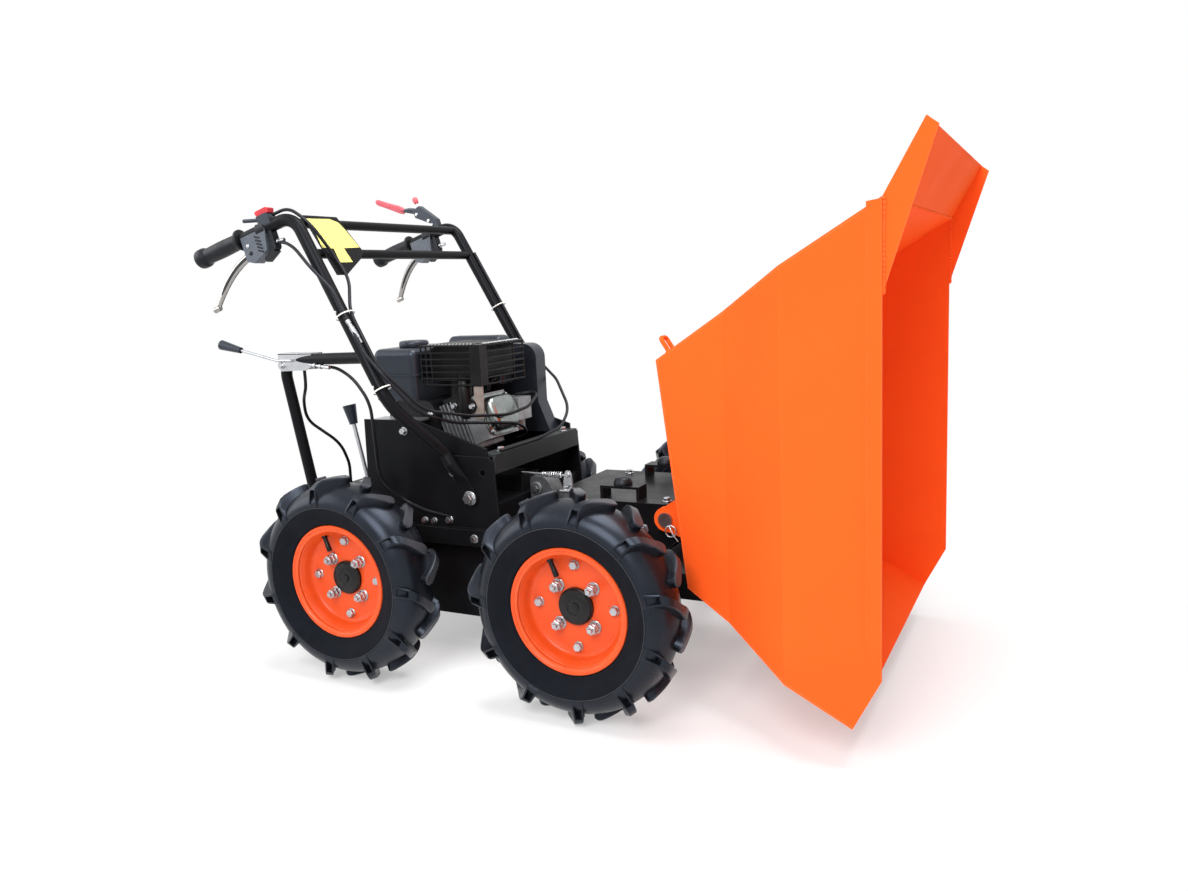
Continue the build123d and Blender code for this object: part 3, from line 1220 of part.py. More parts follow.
def control_cables():
    """Control cables from the handlebar to the engine, the drive and the brake."""
    near = TUBE_RADIUS + CABLE_RADIUS + CABLE_TOUCH
    clutch = [
        grip_point(HOUSING_START + CABLE_RADIUS, -0.55 * HOUSING_DEPTH, 0),
        grip_point(HOUSING_START - 0.5 * HOUSING_DEPTH, -0.7 * HOUSING_DEPTH, 4),
        grip_point(HOUSING_START - HOUSING_DEPTH, -1.1 * HOUSING_DEPTH, 16),
        (-346, 303, 838),
        beside_tube(780, 0.82 * near, 0.7 * near),
        beside_tube(650, 0.82 * near, 0.7 * near),
        beside_tube(596, 1.4 * near, 0),
        (-148, 244, 534),
        (-116, 164, 502),
        (-62, 96, 494),
        (-44, 20, 482),
        (-52, -30, 448),
        (-110, -36, 434),
    ]
    over_tube = 0.75 * SWITCH_TOP
    throttle = [
        grip_point(SWITCH_START - CABLE_TOUCH, over_tube, 0),
        grip_point(8, over_tube, -2),
        beside_tube(915, 1.45 * near, -6),
        beside_tube(850, 1.06 * near, -38),
        beside_tube(800, 1.3 * near, -44),
        beside_tube(735, 1.05 * near, -2),
        beside_tube(620, 1.05 * near, -2),
        (-146, 226, 536),
        (-90, 140, 514),
        (-50, 60, 506),
        (-44, -20, 514),
        (-58, -92, 540),
        (-110, -70, CARBURETTOR_TOP + CABLE_RADIUS),
    ]
    over_angle = PLATE_FRONT_TOP + ANGLE_SHEET + CABLE_RADIUS
    left_tube = [beside_tube(height, near, 0) for height in (860, 620)]
    drive = [(point.X, -point.Y, point.Z) for point in left_tube]
    drive += [(-70, -196, 556), (-14, -150, 492), (-8, -96, 456)]
    drive += [(-16, 0, over_angle), (-16, 150, over_angle)]
    on_plate = PLATE_OUTER + CABLE_RADIUS + CABLE_TOUCH
    under = POST_TOP_Z - BRACKET_DROP
    brake = [
        (BRACKET_END + CABLE_TOUCH, POST_TOP_Y, under + 2 * CABLE_RADIUS),
        (BRACKET_END + 2 * CABLE_LEAD, POST_TOP_Y, under + 2 * CABLE_RADIUS),
        (-290, 265, 606),
        (-254, 262, 556),
        (-256, 256, 500),
        (-268, 236, 390),
        (-250, on_plate, 336),
        (-190, on_plate, 316),
        (-128, on_plate, 306),
    ]
    gear = [
        (BRACKET_END - BRACKET_LENGTH / 2, POST_TOP_Y - BRACKET_HALF / 2, under - CABLE_TOUCH),
        (BRACKET_END - BRACKET_LENGTH / 2, POST_TOP_Y - BRACKET_HALF / 2, under - 1.5 * CABLE_LEAD),
        (-476, 222, 550),
        (-484, 208, 506),
        (-446, 150, 446),
        (-456, 116, 392),
        (-462, 110, DECK_TOP + CABLE_LEAD),
        (-462, 110, DECK_TOP + CABLE_TOUCH),
    ]
    routes = (clutch, throttle, drive, brake, gear)
    cables = [bent_tube(route, easy_bends(route), CABLE_RADIUS) for route in routes]
    return Compound([solid for cable in cables for solid in cable.solids()])


def wheels():
    """The tyre, rim and hub of each wheel at its place."""
    shapes = {"tyre": tyre(), "rim": rim(), "hub": hub()}
    pieces = {}
    for name, (x, side) in WHEEL_PLACES.items():
        place = Pos(x, side * TRACK / 2, AXLE_Z)
        for part_name, shape in shapes.items():
            handed = shape if side > 0 else mirror(shape, about=Plane.XZ)
            pieces[f"{part_name}_{name}"] = place * handed
    return pieces


def chassis():
    """The pieces of the frame between the wheels."""
    return {
        "axles": axles(),
        "chain_case": chain_case(),
        "side_rails": side_rails(),
        "side_plates": side_plates(),
        "engine_deck": engine_deck(),
        "front_cross_angle": front_cross_angle(),
        "front_frame": front_frame(),
        "rear_shelf": rear_shelf(),
        "bump_stops": bump_stops(),
        "hinge_pin": hinge_pin(),
        "gearbox": gearbox(),
        "belt_guard": belt_guard(),
        "latch_lever": latch_lever(),
    }


def skip():
    """The pieces of the skip, tipped about its hinge."""
    names = ("skip_floor", "skip_back", "skip_front", "skip_side_right", "skip_side_left")
    pieces = dict(zip(names, skip_panels()))
    pieces["skip_guard"] = skip_guard()
    pieces["skip_lugs"] = skip_lugs()
    pieces["skip_latch_loop"] = skip_latch_loop(pieces["skip_back"])
    return {name: skip_frame() * piece for name, piece in pieces.items()}


def controls():
    """The handlebar with the hand controls, the control post and the cables."""
    handle = handlebar()
    post = rear_post(handle)
    return {
        "handlebar": handle,
        "grips": grips(),
        "control_panel": control_panel(),
        "lever_housings": both_sides(lever_housing()),
        "clutch_levers": both_sides(clutch_lever()),
        "stop_switch_base": stop_switch_base(),
        "stop_switch": stop_switch(),
        "throttle_body": mirror(throttle_body(), about=Plane.XZ),
        "throttle_lever": mirror(throttle_lever(), about=Plane.XZ),
        "rear_post": post,
        "lever_bracket": lever_bracket(post),
        "lever_rods": lever_rods(),
        "lever_knobs": lever_knobs(),
        "control_cables": control_cables(),
    }


def engine():
    """The pieces of the engine on its deck."""
    crankcase = engine_crankcase()
    return {
        "engine_crankcase": crankcase,
        "engine_cylinder": engine_cylinder(crankcase),
        "rocker_cover": rocker_cover(),
        "fuel_tank": fuel_tank(),
        "fuel_cap": fuel_cap(),
        "muffler": muffler(),
        "muffler_guard": muffler_guard(),
        "muffler_stay": muffler_stay(),
        "fan_shroud": fan_shroud(),
        "air_cleaner": air_cleaner(),
        "carburettor": carburettor(),
    }


def main():
    """Build every piece, mirror it to Y left, move it to the bottom centre and write one file a node."""
    pieces = {**wheels(), **chassis(), **skip(), **controls(), **engine()}
    box = Compound([solid for piece in pieces.values() for solid in piece.solids()]).bounding_box()
    to_origin = Pos(-(box.min.X + box.max.X) / 2, 0, -box.min.Z)
    os.makedirs("parts", exist_ok=True)
    for name, piece in pieces.items():
        solids = [to_origin * mirror(solid, about=Plane.XZ) for solid in piece.solids()]
        export_step(Compound(solids), f"parts/{name}.step")


if __name__ == "__main__":
    main()
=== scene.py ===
import json
import logging
import math
from dataclasses import dataclass
from enum import Enum
from typing import Any, Iterable, Sequence

import bmesh
import bpy
from mathutils import Matrix, Vector


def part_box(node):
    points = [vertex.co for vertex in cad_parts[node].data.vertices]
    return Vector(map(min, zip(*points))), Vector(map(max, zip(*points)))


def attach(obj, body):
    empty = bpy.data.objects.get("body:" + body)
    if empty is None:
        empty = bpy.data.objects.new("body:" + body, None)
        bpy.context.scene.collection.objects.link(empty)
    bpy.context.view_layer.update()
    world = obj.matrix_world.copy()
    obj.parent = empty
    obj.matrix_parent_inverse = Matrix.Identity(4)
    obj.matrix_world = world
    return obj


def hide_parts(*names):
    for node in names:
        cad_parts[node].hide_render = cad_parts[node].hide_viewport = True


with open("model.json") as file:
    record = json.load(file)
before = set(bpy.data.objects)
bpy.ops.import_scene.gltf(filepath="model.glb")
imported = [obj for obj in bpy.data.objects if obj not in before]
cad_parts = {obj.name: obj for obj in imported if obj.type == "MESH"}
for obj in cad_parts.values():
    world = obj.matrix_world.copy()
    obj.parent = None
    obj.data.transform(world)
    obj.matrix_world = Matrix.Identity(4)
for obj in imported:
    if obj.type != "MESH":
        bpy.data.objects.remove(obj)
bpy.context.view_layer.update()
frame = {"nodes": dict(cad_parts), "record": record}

# Looks of a walk-behind power barrow. Sizes are millimetres in the drawing frame of its solids:
# X forward, Y to the operator's right, Z up, from the floor under the middle of the wheelbase.
LOG = logging.getLogger("power_barrow")
Point = Sequence[float]
Triple = tuple[float, float, float]
Tree = bpy.types.NodeTree
Socket = bpy.types.NodeSocket

# Millimetres in a metre.
PER_METRE = 1000
# Middle of the hinge pin, X and side of each wheel (+1 is the right), half the track and height of the axles.
HINGE = Vector((354.0, 0.0, 327.0))
WHEELS = {
    "front_right": (263.0, 1),
    "front_left": (263.0, -1),
    "rear_right": (-263.0, 1),
    "rear_left": (-263.0, -1),
}
TRACK_HALF = 363.0
AXLE_Z = 212.0
SIDES = (1, -1)
UP = (0, 0, 1)
RIGHT = (0, 1, 0)
# Radius that stands for a point on a turning axis, so that no ring of points collapses.
POLE = 0.05

# The spans of slow noise that become the whole range of gloss and of shade.
GLOSS_CLOUDS = (0.3, 0.7)
SHADE_CLOUDS = (0.35, 0.7)
# Paler edges, partly wear and partly painted edge highlight, show on edges of this radius, from one cosine of
# their turn to the other, in scuffs of this size.
EDGE_RADIUS_MM = 1.6
EDGE_TURN = (0.99, 0.8)
SCUFF_MM = 9.0
BUMP_STRENGTH = 0.6


def drawing_shift() -> Vector:
    """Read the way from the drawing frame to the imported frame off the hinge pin.

    Returns:
        The shift in metres.
    """
    low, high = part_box("hinge_pin")
    middle = (Vector(low) + Vector(high)) / 2
    return Vector((middle.x - HINGE.x / PER_METRE, 0.0, middle.z - HINGE.z / PER_METRE))


SHIFT = drawing_shift()


def packed(point: Point) -> Vector:
    """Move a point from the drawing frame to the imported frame.

    Args:
        point: X, Y and Z in millimetres, with Y to the right.

    Returns:
        The point in metres, with Y to the left.
    """
    return Vector((point[0] / PER_METRE, -point[1] / PER_METRE, point[2] / PER_METRE)) + SHIFT


def to_side(point: Point, side: int) -> Vector:
    """Point or way of the right side as it is, or mirrored for the left side."""
    return Vector((point[0], side * point[1], point[2]))


def round_turns(count: int) -> list[float]:
    """Angles of equal steps round a full turn, in radians."""
    return [2 * math.pi * step / count for step in range(count)]


def on_ring(stand: Matrix, radius: float, turn: float, height: float) -> Vector:
    """Point of a frame by its radius, its angle and its height."""
    return stand @ Vector((radius * math.cos(turn), radius * math.sin(turn), height))


def rectangle(half_x: float, half_y: float) -> list[tuple[float, float]]:
    """Corners of a rectangle about the origin."""
    return [(-half_x, -half_y), (half_x, -half_y), (half_x, half_y), (-half_x, half_y)]


def linear(code: str) -> tuple[float, float, float, float]:
    """Turn an sRGB hex colour into linear light.

    Args:
        code: six hex digits after a hash.

    Returns:
        Red, green, blue and a full alpha.
    """
    parts = [int(code[start:start + 2], 16) / 255 for start in (1, 3, 5)]
    light = [v / 12.92 if v <= 0.04045 else ((v + 0.055) / 1.055) ** 2.4 for v in parts]
    return (light[0], light[1], light[2], 1.0)


def link(thing: bpy.types.Object) -> None:
    """Put an object into the scene."""
    bpy.context.scene.collection.objects.link(thing)


def add_node(tree: Tree, kind: str, settings: dict[str, Any], inputs: dict[Any, Any]) -> bpy.types.Node:
    """Add a shader node with its settings and links.

    Args:
        tree: the node tree that takes it.
        kind: Blender's name of the node type.
        settings: attributes to set on the node.
        inputs: a value or a socket to link for each named input.

    Returns:
        The new node.
    """
    node = tree.nodes.new(kind)
    for name, value in settings.items():
        setattr(node, name, value)
    for name, value in inputs.items():
        if isinstance(value, Socket):
            tree.links.new(value, node.inputs[name])
        else:
            node.inputs[name].default_value = value
    return node


class Process(Enum):
    """How a surface was made, which sets the kind of fine relief that it shows."""

    COATED = "powder coated"
    MOULDED = "moulded"
    PLATED = "plated"
    CAST = "cast"


# How many finer layers the noise of each process has. Castings are pebbled instead.
GRAIN_DETAIL = {Process.COATED: 1.0, Process.MOULDED: 3.0, Process.PLATED: 5.0}


@dataclass(frozen=True)
class Finish:
    """A material with its colour, gloss and relief.

    The clouds are slow changes of colour and gloss, the grain is the fine relief,
    and the edges turn paler in scuffed patches, partly wear and partly painted edge highlight.
    """

    name: str
    colour: str
    shade: str
    process: Process
    metallic: float = 0.0
    roughness: float = 0.5
    gloss_spread: float = 0.1
    ior: float = 1.5
    specular: float = 0.5
    # Colour of the gloss; a blue tint here is painted cool reflection.
    painted_reflection_tint: str = "#ffffff"
    cloud_mm: float = 120.0
    grain_mm: float = 3.0
    grain_depth_mm: float = 0.05
    # Paler colour of scuffed edges and its strength: partly wear and partly painted edge highlight.
    wear_and_highlight: str = ""
    wear_and_highlight_amount: float = 0.0

    def material(self) -> bpy.types.Material:
        """Build the material once and give it back each time.

        Returns:
            The material of this finish.
        """
        known = bpy.data.materials.get(self.name)
        if known:
            return known
        made = bpy.data.materials.new(self.name)
        made.use_nodes = True
        tree = made.node_tree
        shader = tree.nodes["Principled BSDF"]
        place = add_node(tree, "ShaderNodeTexCoord", {}, {}).outputs["Object"]
        clouds = add_node(tree, "ShaderNodeTexNoise", {}, {
            "Vector": place, "Scale": PER_METRE / self.cloud_mm, "Detail": 4.0, "Roughness": 0.6})
        colour = self.tint(tree, place, clouds.outputs["Fac"])
        tree.links.new(colour, shader.inputs["Base Color"])
        tree.links.new(self.gloss(tree, place, clouds.outputs["Fac"]), shader.inputs["Roughness"])
        tree.links.new(self.relief(tree, place), shader.inputs["Normal"])
        shader.inputs["Metallic"].default_value = self.metallic
        if not self.metallic:
            shader.inputs["IOR"].default_value = self.ior
        self.mirror(tree, place, shader.inputs["Specular IOR Level"])
        shader.inputs["Specular Tint"].default_value = linear(self.painted_reflection_tint)
        return made

    def mirror(self, tree: Tree, place: Socket, level: Socket) -> None:
        """Set how much the surface mirrors, the same all over."""
        level.default_value = self.specular

    def gloss(self, tree: Tree, place: Socket, clouds: Socket) -> Socket:
        """Spread the roughness in clouds.

        Args:
            tree: the material's node tree.
            place: the object's own coordinates.
            clouds: slow noise from 0 to 1.

        Returns:
            The socket that carries the roughness.
        """
        return add_node(tree, "ShaderNodeMapRange", {}, {
            "Value": clouds, "From Min": GLOSS_CLOUDS[0], "From Max": GLOSS_CLOUDS[1],
            "To Min": self.roughness - self.gloss_spread,
            "To Max": self.roughness + self.gloss_spread}).outputs["Result"]

    def tint(self, tree: Tree, place: Socket, clouds: Socket) -> Socket:
        """Mix the colour with its darker shade and with paler edges: wear and painted edge highlight.

        Args:
            tree: the material's node tree.
            place: the object's own coordinates.
            clouds: slow noise from 0 to 1.

        Returns:
            The socket that carries the colour.
        """
        share = add_node(tree, "ShaderNodeMapRange", {}, {
            "Value": clouds, "From Min": SHADE_CLOUDS[0], "From Max": SHADE_CLOUDS[1]})
        mixed = add_node(tree, "ShaderNodeMix", {"data_type": "RGBA"}, {
            0: share.outputs["Result"], 6: linear(self.colour), 7: linear(self.shade)})
        if not self.wear_and_highlight:
            return mixed.outputs[2]
        # Paler scuffed edges: partly wear and partly painted edge highlight.
        rounded = add_node(tree, "ShaderNodeBevel", {"samples": 4}, {"Radius": EDGE_RADIUS_MM / PER_METRE})
        flat = add_node(tree, "ShaderNodeNewGeometry", {}, {})
        turn = add_node(tree, "ShaderNodeVectorMath", {"operation": "DOT_PRODUCT"}, {
            0: rounded.outputs["Normal"], 1: flat.outputs["Normal"]})
        scuffs = add_node(tree, "ShaderNodeTexNoise", {}, {
            "Vector": place, "Scale": PER_METRE / SCUFF_MM, "Detail": 3.0})
        edge = add_node(tree, "ShaderNodeMapRange", {}, {
            "Value": turn.outputs["Value"], "From Min": EDGE_TURN[0], "From Max": EDGE_TURN[1],
            "To Max": 2 * self.wear_and_highlight_amount})
        edge_wear_and_highlight = add_node(tree, "ShaderNodeMath", {"operation": "MULTIPLY", "use_clamp": True}, {
            0: edge.outputs["Result"], 1: scuffs.outputs["Fac"]})
        return add_node(tree, "ShaderNodeMix", {"data_type": "RGBA"}, {
            0: edge_wear_and_highlight.outputs["Value"], 6: mixed.outputs[2], 7: linear(self.wear_and_highlight)}).outputs[2]

    def relief(self, tree: Tree, place: Socket) -> Socket:
        """Turn the grain into a bumped normal.

        Args:
            tree: the material's node tree.
            place: the object's own coordinates.

        Returns:
            The socket that carries the normal.
        """
        scale = PER_METRE / self.grain_mm
        if self.process is Process.CAST:
            grain = add_node(tree, "ShaderNodeTexVoronoi", {"feature": "SMOOTH_F1"}, {
                "Vector": place, "Scale": scale, "Smoothness": 0.8}).outputs["Distance"]
        else:
            grain = add_node(tree, "ShaderNodeTexNoise", {}, {
                "Vector": place, "Scale": scale, "Detail": GRAIN_DETAIL[self.process],
                "Roughness": 0.5}).outputs["Fac"]
        return add_node(tree, "ShaderNodeBump", {}, {
            "Height": grain, "Distance": self.grain_depth_mm / PER_METRE,
            "Strength": BUMP_STRENGTH}).outputs["Normal"]


@dataclass(frozen=True)
class TyreRubber(Finish):
    """Tyre rubber with a dull lower sidewall, a pale ring painted along the mould line as its highlight, and
    bar tops greyed by rolling.

    Its object stands at the middle of the wheel, so its marks lie at radii from the axle. The dull part ends
    between two distances outside the mould line.
    """

    rub_start_mm: float = 205.0
    rub_full_mm: float = 209.5
    line_mm: float = 155.3
    line_half_mm: float = 0.7
    rub_grey: str = "#47484c"
    rub_share: float = 0.6
    mould_line_highlight: str = "#3c3d40"
    dull: float = 0.7
    dull_specular: float = 0.1
    dull_end_mm: tuple[float, float] = (2.6, 1.4)

    @staticmethod
    def radius(tree: Tree, place: Socket) -> Socket:
        """Measure how far a point of the surface is from the axle.

        Args:
            tree: the material's node tree.
            place: the object's own coordinates.

        Returns:
            The socket that carries the distance in metres.
        """
        across = add_node(tree, "ShaderNodeVectorMath", {"operation": "MULTIPLY"}, {
            0: place, 1: (1.0, 0.0, 1.0)})
        return add_node(tree, "ShaderNodeVectorMath", {"operation": "LENGTH"}, {
            0: across.outputs["Vector"]}).outputs["Value"]

    def inside(self, tree: Tree, place: Socket) -> Socket:
        """Socket that is 1 inside the mould line and 0 outside it."""
        return add_node(tree, "ShaderNodeMapRange", {}, {
            "Value": self.radius(tree, place), "From Min": (self.line_mm + self.dull_end_mm[0]) / PER_METRE,
            "From Max": (self.line_mm + self.dull_end_mm[1]) / PER_METRE}).outputs["Result"]

    def mirror(self, tree: Tree, place: Socket, level: Socket) -> None:
        """Let the sidewall inside the mould line mirror less."""
        mixed = add_node(tree, "ShaderNodeMix", {"data_type": "FLOAT"}, {
            0: self.inside(tree, place), 2: self.specular, 3: self.dull_specular})
        tree.links.new(mixed.outputs[0], level)

    def gloss(self, tree: Tree, place: Socket, clouds: Socket) -> Socket:
        """Dull the sidewall inside the mould line.

        Args:
            tree: the material's node tree.
            place: the object's own coordinates.
            clouds: slow noise from 0 to 1.

        Returns:
            The socket that carries the roughness.
        """
        return add_node(tree, "ShaderNodeMix", {"data_type": "FLOAT"}, {
            0: self.inside(tree, place), 2: super().gloss(tree, place, clouds), 3: self.dull}).outputs[0]

    def tint(self, tree: Tree, place: Socket, clouds: Socket) -> Socket:
        """Grey the rubber on the bar tops, and paint a pale highlight along the mould line.

        Args:
            tree: the material's node tree.
            place: the object's own coordinates.
            clouds: slow noise from 0 to 1.

        Returns:
            The socket that carries the colour.
        """
        radius = self.radius(tree, place)
        rub = add_node(tree, "ShaderNodeMapRange", {}, {
            "Value": radius, "From Min": self.rub_start_mm / PER_METRE,
            "From Max": self.rub_full_mm / PER_METRE, "To Max": self.rub_share})
        wear_and_highlight = add_node(tree, "ShaderNodeMix", {"data_type": "RGBA"}, {
            0: rub.outputs["Result"], 6: super().tint(tree, place, clouds), 7: linear(self.rub_grey)})
        # A thin pale ring at the mould line: painted highlight of its ridge.
        line = add_node(tree, "ShaderNodeMath", {"operation": "COMPARE"}, {
            0: radius, 1: self.line_mm / PER_METRE, 2: self.line_half_mm / PER_METRE})
        return add_node(tree, "ShaderNodeMix", {"data_type": "RGBA"}, {
            0: line.outputs["Value"], 6: wear_and_highlight.outputs[2], 7: linear(self.mould_line_highlight)}).outputs[2]


# Moulded, plated and cast skins are finer than the render can show, so their grain is drawn at 1.2 to 3 mm.

# Powder coat on folded sheet: an even satin gloss with a faint orange-peel ripple of about 5 mm, and paler
# scuffed edges, partly wear and partly painted edge highlight.
SKIP_ORANGE = Finish("powder_coated_sheet_orange", "#ff6022", "#fb5c20", Process.COATED, roughness=0.62,
                     gloss_spread=0.05, specular=0.05, cloud_mm=260, grain_mm=5, grain_depth_mm=0.05,
                     wear_and_highlight="#ff9a68", wear_and_highlight_amount=0.4)
# Powder coat on pressed rims: a deeper orange than the sheet, and glossier on the tight curves, with paler
# scuffed edges, partly wear and partly painted edge highlight.
RIM_ORANGE = Finish("powder_coated_rim_orange", "#df4f1a", "#d54816", Process.COATED, roughness=0.36,
                    gloss_spread=0.06, specular=0.3, cloud_mm=60, grain_mm=4, grain_depth_mm=0.04,
                    wear_and_highlight="#ff9a68", wear_and_highlight_amount=0.3)
# Black powder coat on folded steel: deep satin black, its gloss tinted blue as painted cool reflection, and
# its edges a thin grey line, partly wear and partly painted edge highlight.
FRAME_BLACK = Finish("powder_coated_steel_black", "#101012", "#151517", Process.COATED, roughness=0.36,
                     gloss_spread=0.08, specular=0.11, painted_reflection_tint="#dfe6f2", cloud_mm=90, grain_mm=3,
                     grain_depth_mm=0.04, wear_and_highlight="#4a4a4c", wear_and_highlight_amount=0.5)
# Black paint on turned steel hubs: glossier than the frame, with greyer scuffed edges, partly wear and partly
# painted edge highlight.
HUB_BLACK = Finish("painted_steel_black", "#0a0a0b", "#0e0e10", Process.COATED, roughness=0.28,
                   gloss_spread=0.08, specular=0.3, cloud_mm=40, grain_mm=3, grain_depth_mm=0.03,
                   wear_and_highlight="#48484a", wear_and_highlight_amount=0.5)
# Vulcanised tyre rubber, new and oiled: charcoal with a soft sheen and a fine moulded skin; the blue in its
# colour and in its gloss is painted cool reflection.
TYRE_RUBBER = TyreRubber("moulded_tyre_rubber", "#101216", "#15171c", Process.MOULDED, roughness=0.31,
                         gloss_spread=0.06, specular=0.38, painted_reflection_tint="#c8d6f0", cloud_mm=45, grain_mm=3,
                         grain_depth_mm=0.06)
# Moulded soft rubber of grips, buffers and cable jackets: deep black with a dull sheen, its gloss tinted blue
# as painted cool reflection.
RUBBER_BLACK = Finish("moulded_rubber_black", "#0f0f11", "#151518", Process.MOULDED, roughness=0.45,
                      gloss_spread=0.08, specular=0.32, painted_reflection_tint="#dfe6f2", cloud_mm=30, grain_mm=1.6,
                      grain_depth_mm=0.04)
# Moulded ABS and polyethylene: black lifted to a bluish grey, with a fine spark-eroded texture and a clear
# sheen tinted blue; the lift and the blue are painted cool reflection.
PLASTIC_BLACK = Finish("moulded_abs_black", "#20232a", "#262a31", Process.MOULDED, roughness=0.34,
                       gloss_spread=0.06, specular=0.5, painted_reflection_tint="#d4def0", cloud_mm=50, grain_mm=1.8,
                       grain_depth_mm=0.05)
# Moulded ABS in signal red: smooth and fairly glossy.
PLASTIC_RED = Finish("moulded_abs_red", "#c8182a", "#b01022", Process.MOULDED, roughness=0.32,
                     gloss_spread=0.06, cloud_mm=15, grain_mm=1.5, grain_depth_mm=0.03)
# Zinc plated and passivated steel: pale grey metal with cloudy gloss.
ZINC_STEEL = Finish("zinc_plated_steel", "#c2c4c7", "#b0b2b6", Process.PLATED, metallic=1.0, roughness=0.34,
                    gloss_spread=0.05, cloud_mm=12, grain_mm=1.6, grain_depth_mm=0.008)
# Die cast aluminium: grey metal with a soft pebbled skin.
CAST_ALLOY = Finish("die_cast_aluminium", "#a9abae", "#8e9093", Process.CAST, metallic=0.7, roughness=0.44,
                    gloss_spread=0.08, cloud_mm=22, grain_mm=2.2, grain_depth_mm=0.1)
# Sand cast gearbox: duller and darker grey than the engine's die castings.
GEARBOX_CASTING = Finish("sand_cast_aluminium", "#6e7072", "#58595b", Process.CAST, metallic=0.8,
                         roughness=0.55, gloss_spread=0.06, cloud_mm=20, grain_mm=2.4, grain_depth_mm=0.15)
# Dark paint over a sand casting: satin with a coarser skin, and greyer scuffed edges, partly wear and partly
# painted edge highlight.
ENGINE_DARK = Finish("painted_casting_dark", "#0e0f11", "#141518", Process.CAST, roughness=0.42,
                     gloss_spread=0.08, specular=0.3, cloud_mm=40, grain_mm=2.4, grain_depth_mm=0.1,
                     wear_and_highlight="#5a5b5d", wear_and_highlight_amount=0.4)
# Stove enamel on the exhaust: heat-proof satin black, a little cloudy, with greyed edges, partly wear and
# partly painted edge highlight.
EXHAUST_BLACK = Finish("stove_enamelled_steel", "#080809", "#0d0d0e", Process.COATED, roughness=0.42,
                       gloss_spread=0.1, specular=0.2, cloud_mm=35, grain_mm=2, grain_depth_mm=0.06,
                       wear_and_highlight="#4a4846", wear_and_highlight_amount=0.5)
# Vinyl film of the blank sticker: pale yellow, smooth with slight waves.
VINYL_YELLOW = Finish("printed_vinyl_yellow", "#e2dc7c", "#e4de7c", Process.MOULDED, roughness=0.4,
                      gloss_spread=0.05, cloud_mm=20, grain_mm=12, grain_depth_mm=0.1)
# Nylon cable ties: milky white plastic.
NYLON_WHITE = Finish("moulded_nylon_white", "#e9e9e4", "#dcdcd6", Process.MOULDED, roughness=0.4,
                     gloss_spread=0.05, cloud_mm=6, grain_mm=1.2, grain_depth_mm=0.03)
# Hard chrome on the hand levers: bright, mirroring its surroundings softly.
CHROME_STEEL = Finish("chromed_steel", "#a8a5a2", "#9a9794", Process.PLATED, metallic=1.0, roughness=0.22,
                      gloss_spread=0.05, cloud_mm=20, grain_mm=2, grain_depth_mm=0.004)
# Chromated zinc on the pressed rocker cover: greenish grey metal, soft and cloudy.
CHROMATED_ZINC = Finish("chromated_pressing", "#989e9b", "#808785", Process.PLATED, metallic=1.0,
                        roughness=0.28, gloss_spread=0.08, cloud_mm=30, grain_mm=3, grain_depth_mm=0.02)
# Bare steel strip beside the exhaust: faintly browned by heat.
HEATED_STEEL = Finish("heat_tinted_steel", "#b3a59d", "#9c8d84", Process.PLATED, metallic=0.9, roughness=0.42,
                      gloss_spread=0.08, cloud_mm=18, grain_mm=2, grain_depth_mm=0.02)
# Moulded nylon of the lever housings: slate grey, satin.
NYLON_GREY = Finish("moulded_nylon_grey", "#4d545e", "#454b55", Process.MOULDED, roughness=0.4,
                    gloss_spread=0.06, specular=0.45, cloud_mm=20, grain_mm=1.6, grain_depth_mm=0.04)
# Dipped vinyl sleeve of the throttle: faded red, soft.
VINYL_RED = Finish("dipped_vinyl_red", "#d9606c", "#d05662", Process.MOULDED, roughness=0.45,
                   gloss_spread=0.05, cloud_mm=15, grain_mm=2, grain_depth_mm=0.03)
# Powder coat on the rolled angle: a satin black painted lighter and greyer than the frame's as painted light
# on its lit face, with paler scuffed edges, partly wear and partly painted edge highlight.
ANGLE_BLACK_PAINTED_LIT = Finish("powder_coated_black_painted_lit", "#262a2b", "#2b2f30", Process.COATED, roughness=0.42,
                     gloss_spread=0.06, specular=0.2, cloud_mm=80, grain_mm=3, grain_depth_mm=0.04,
                     wear_and_highlight="#4a4a4c", wear_and_highlight_amount=0.5)

# Solids whose finish isn't that of their record slot, and the finish of each slot.
NODE_FINISH = {
    "front_cross_angle": ANGLE_BLACK_PAINTED_LIT,
    "muffler_stay": HEATED_STEEL,
    "lever_housings": NYLON_GREY,
}
SLOT_FINISH = {
    "tyre_rubber": TYRE_RUBBER,
    "rim_orange": RIM_ORANGE,
    "skip_orange": SKIP_ORANGE,
    "frame_black": FRAME_BLACK,
    "hub_black": HUB_BLACK,
    "rubber_black": RUBBER_BLACK,
    "plastic_black": PLASTIC_BLACK,
    "plastic_red": PLASTIC_RED,
    "zinc_steel": ZINC_STEEL,
    "cast_alloy": CAST_ALLOY,
    "engine_dark": ENGINE_DARK,
    "exhaust_black": EXHAUST_BLACK,
}


def seat(point: Point, axis: Point) -> Matrix:
    """Frame that stands on a point with its Z along an axis.

    Args:
        point: where it stands, in the drawing frame.
        axis: the way that its Z points.

    Returns:
        The frame as a matrix.
    """
    turn = Vector(axis).to_track_quat("Z", "Y").to_matrix().to_4x4()
    return Matrix.Translation(Vector(point)) @ turn


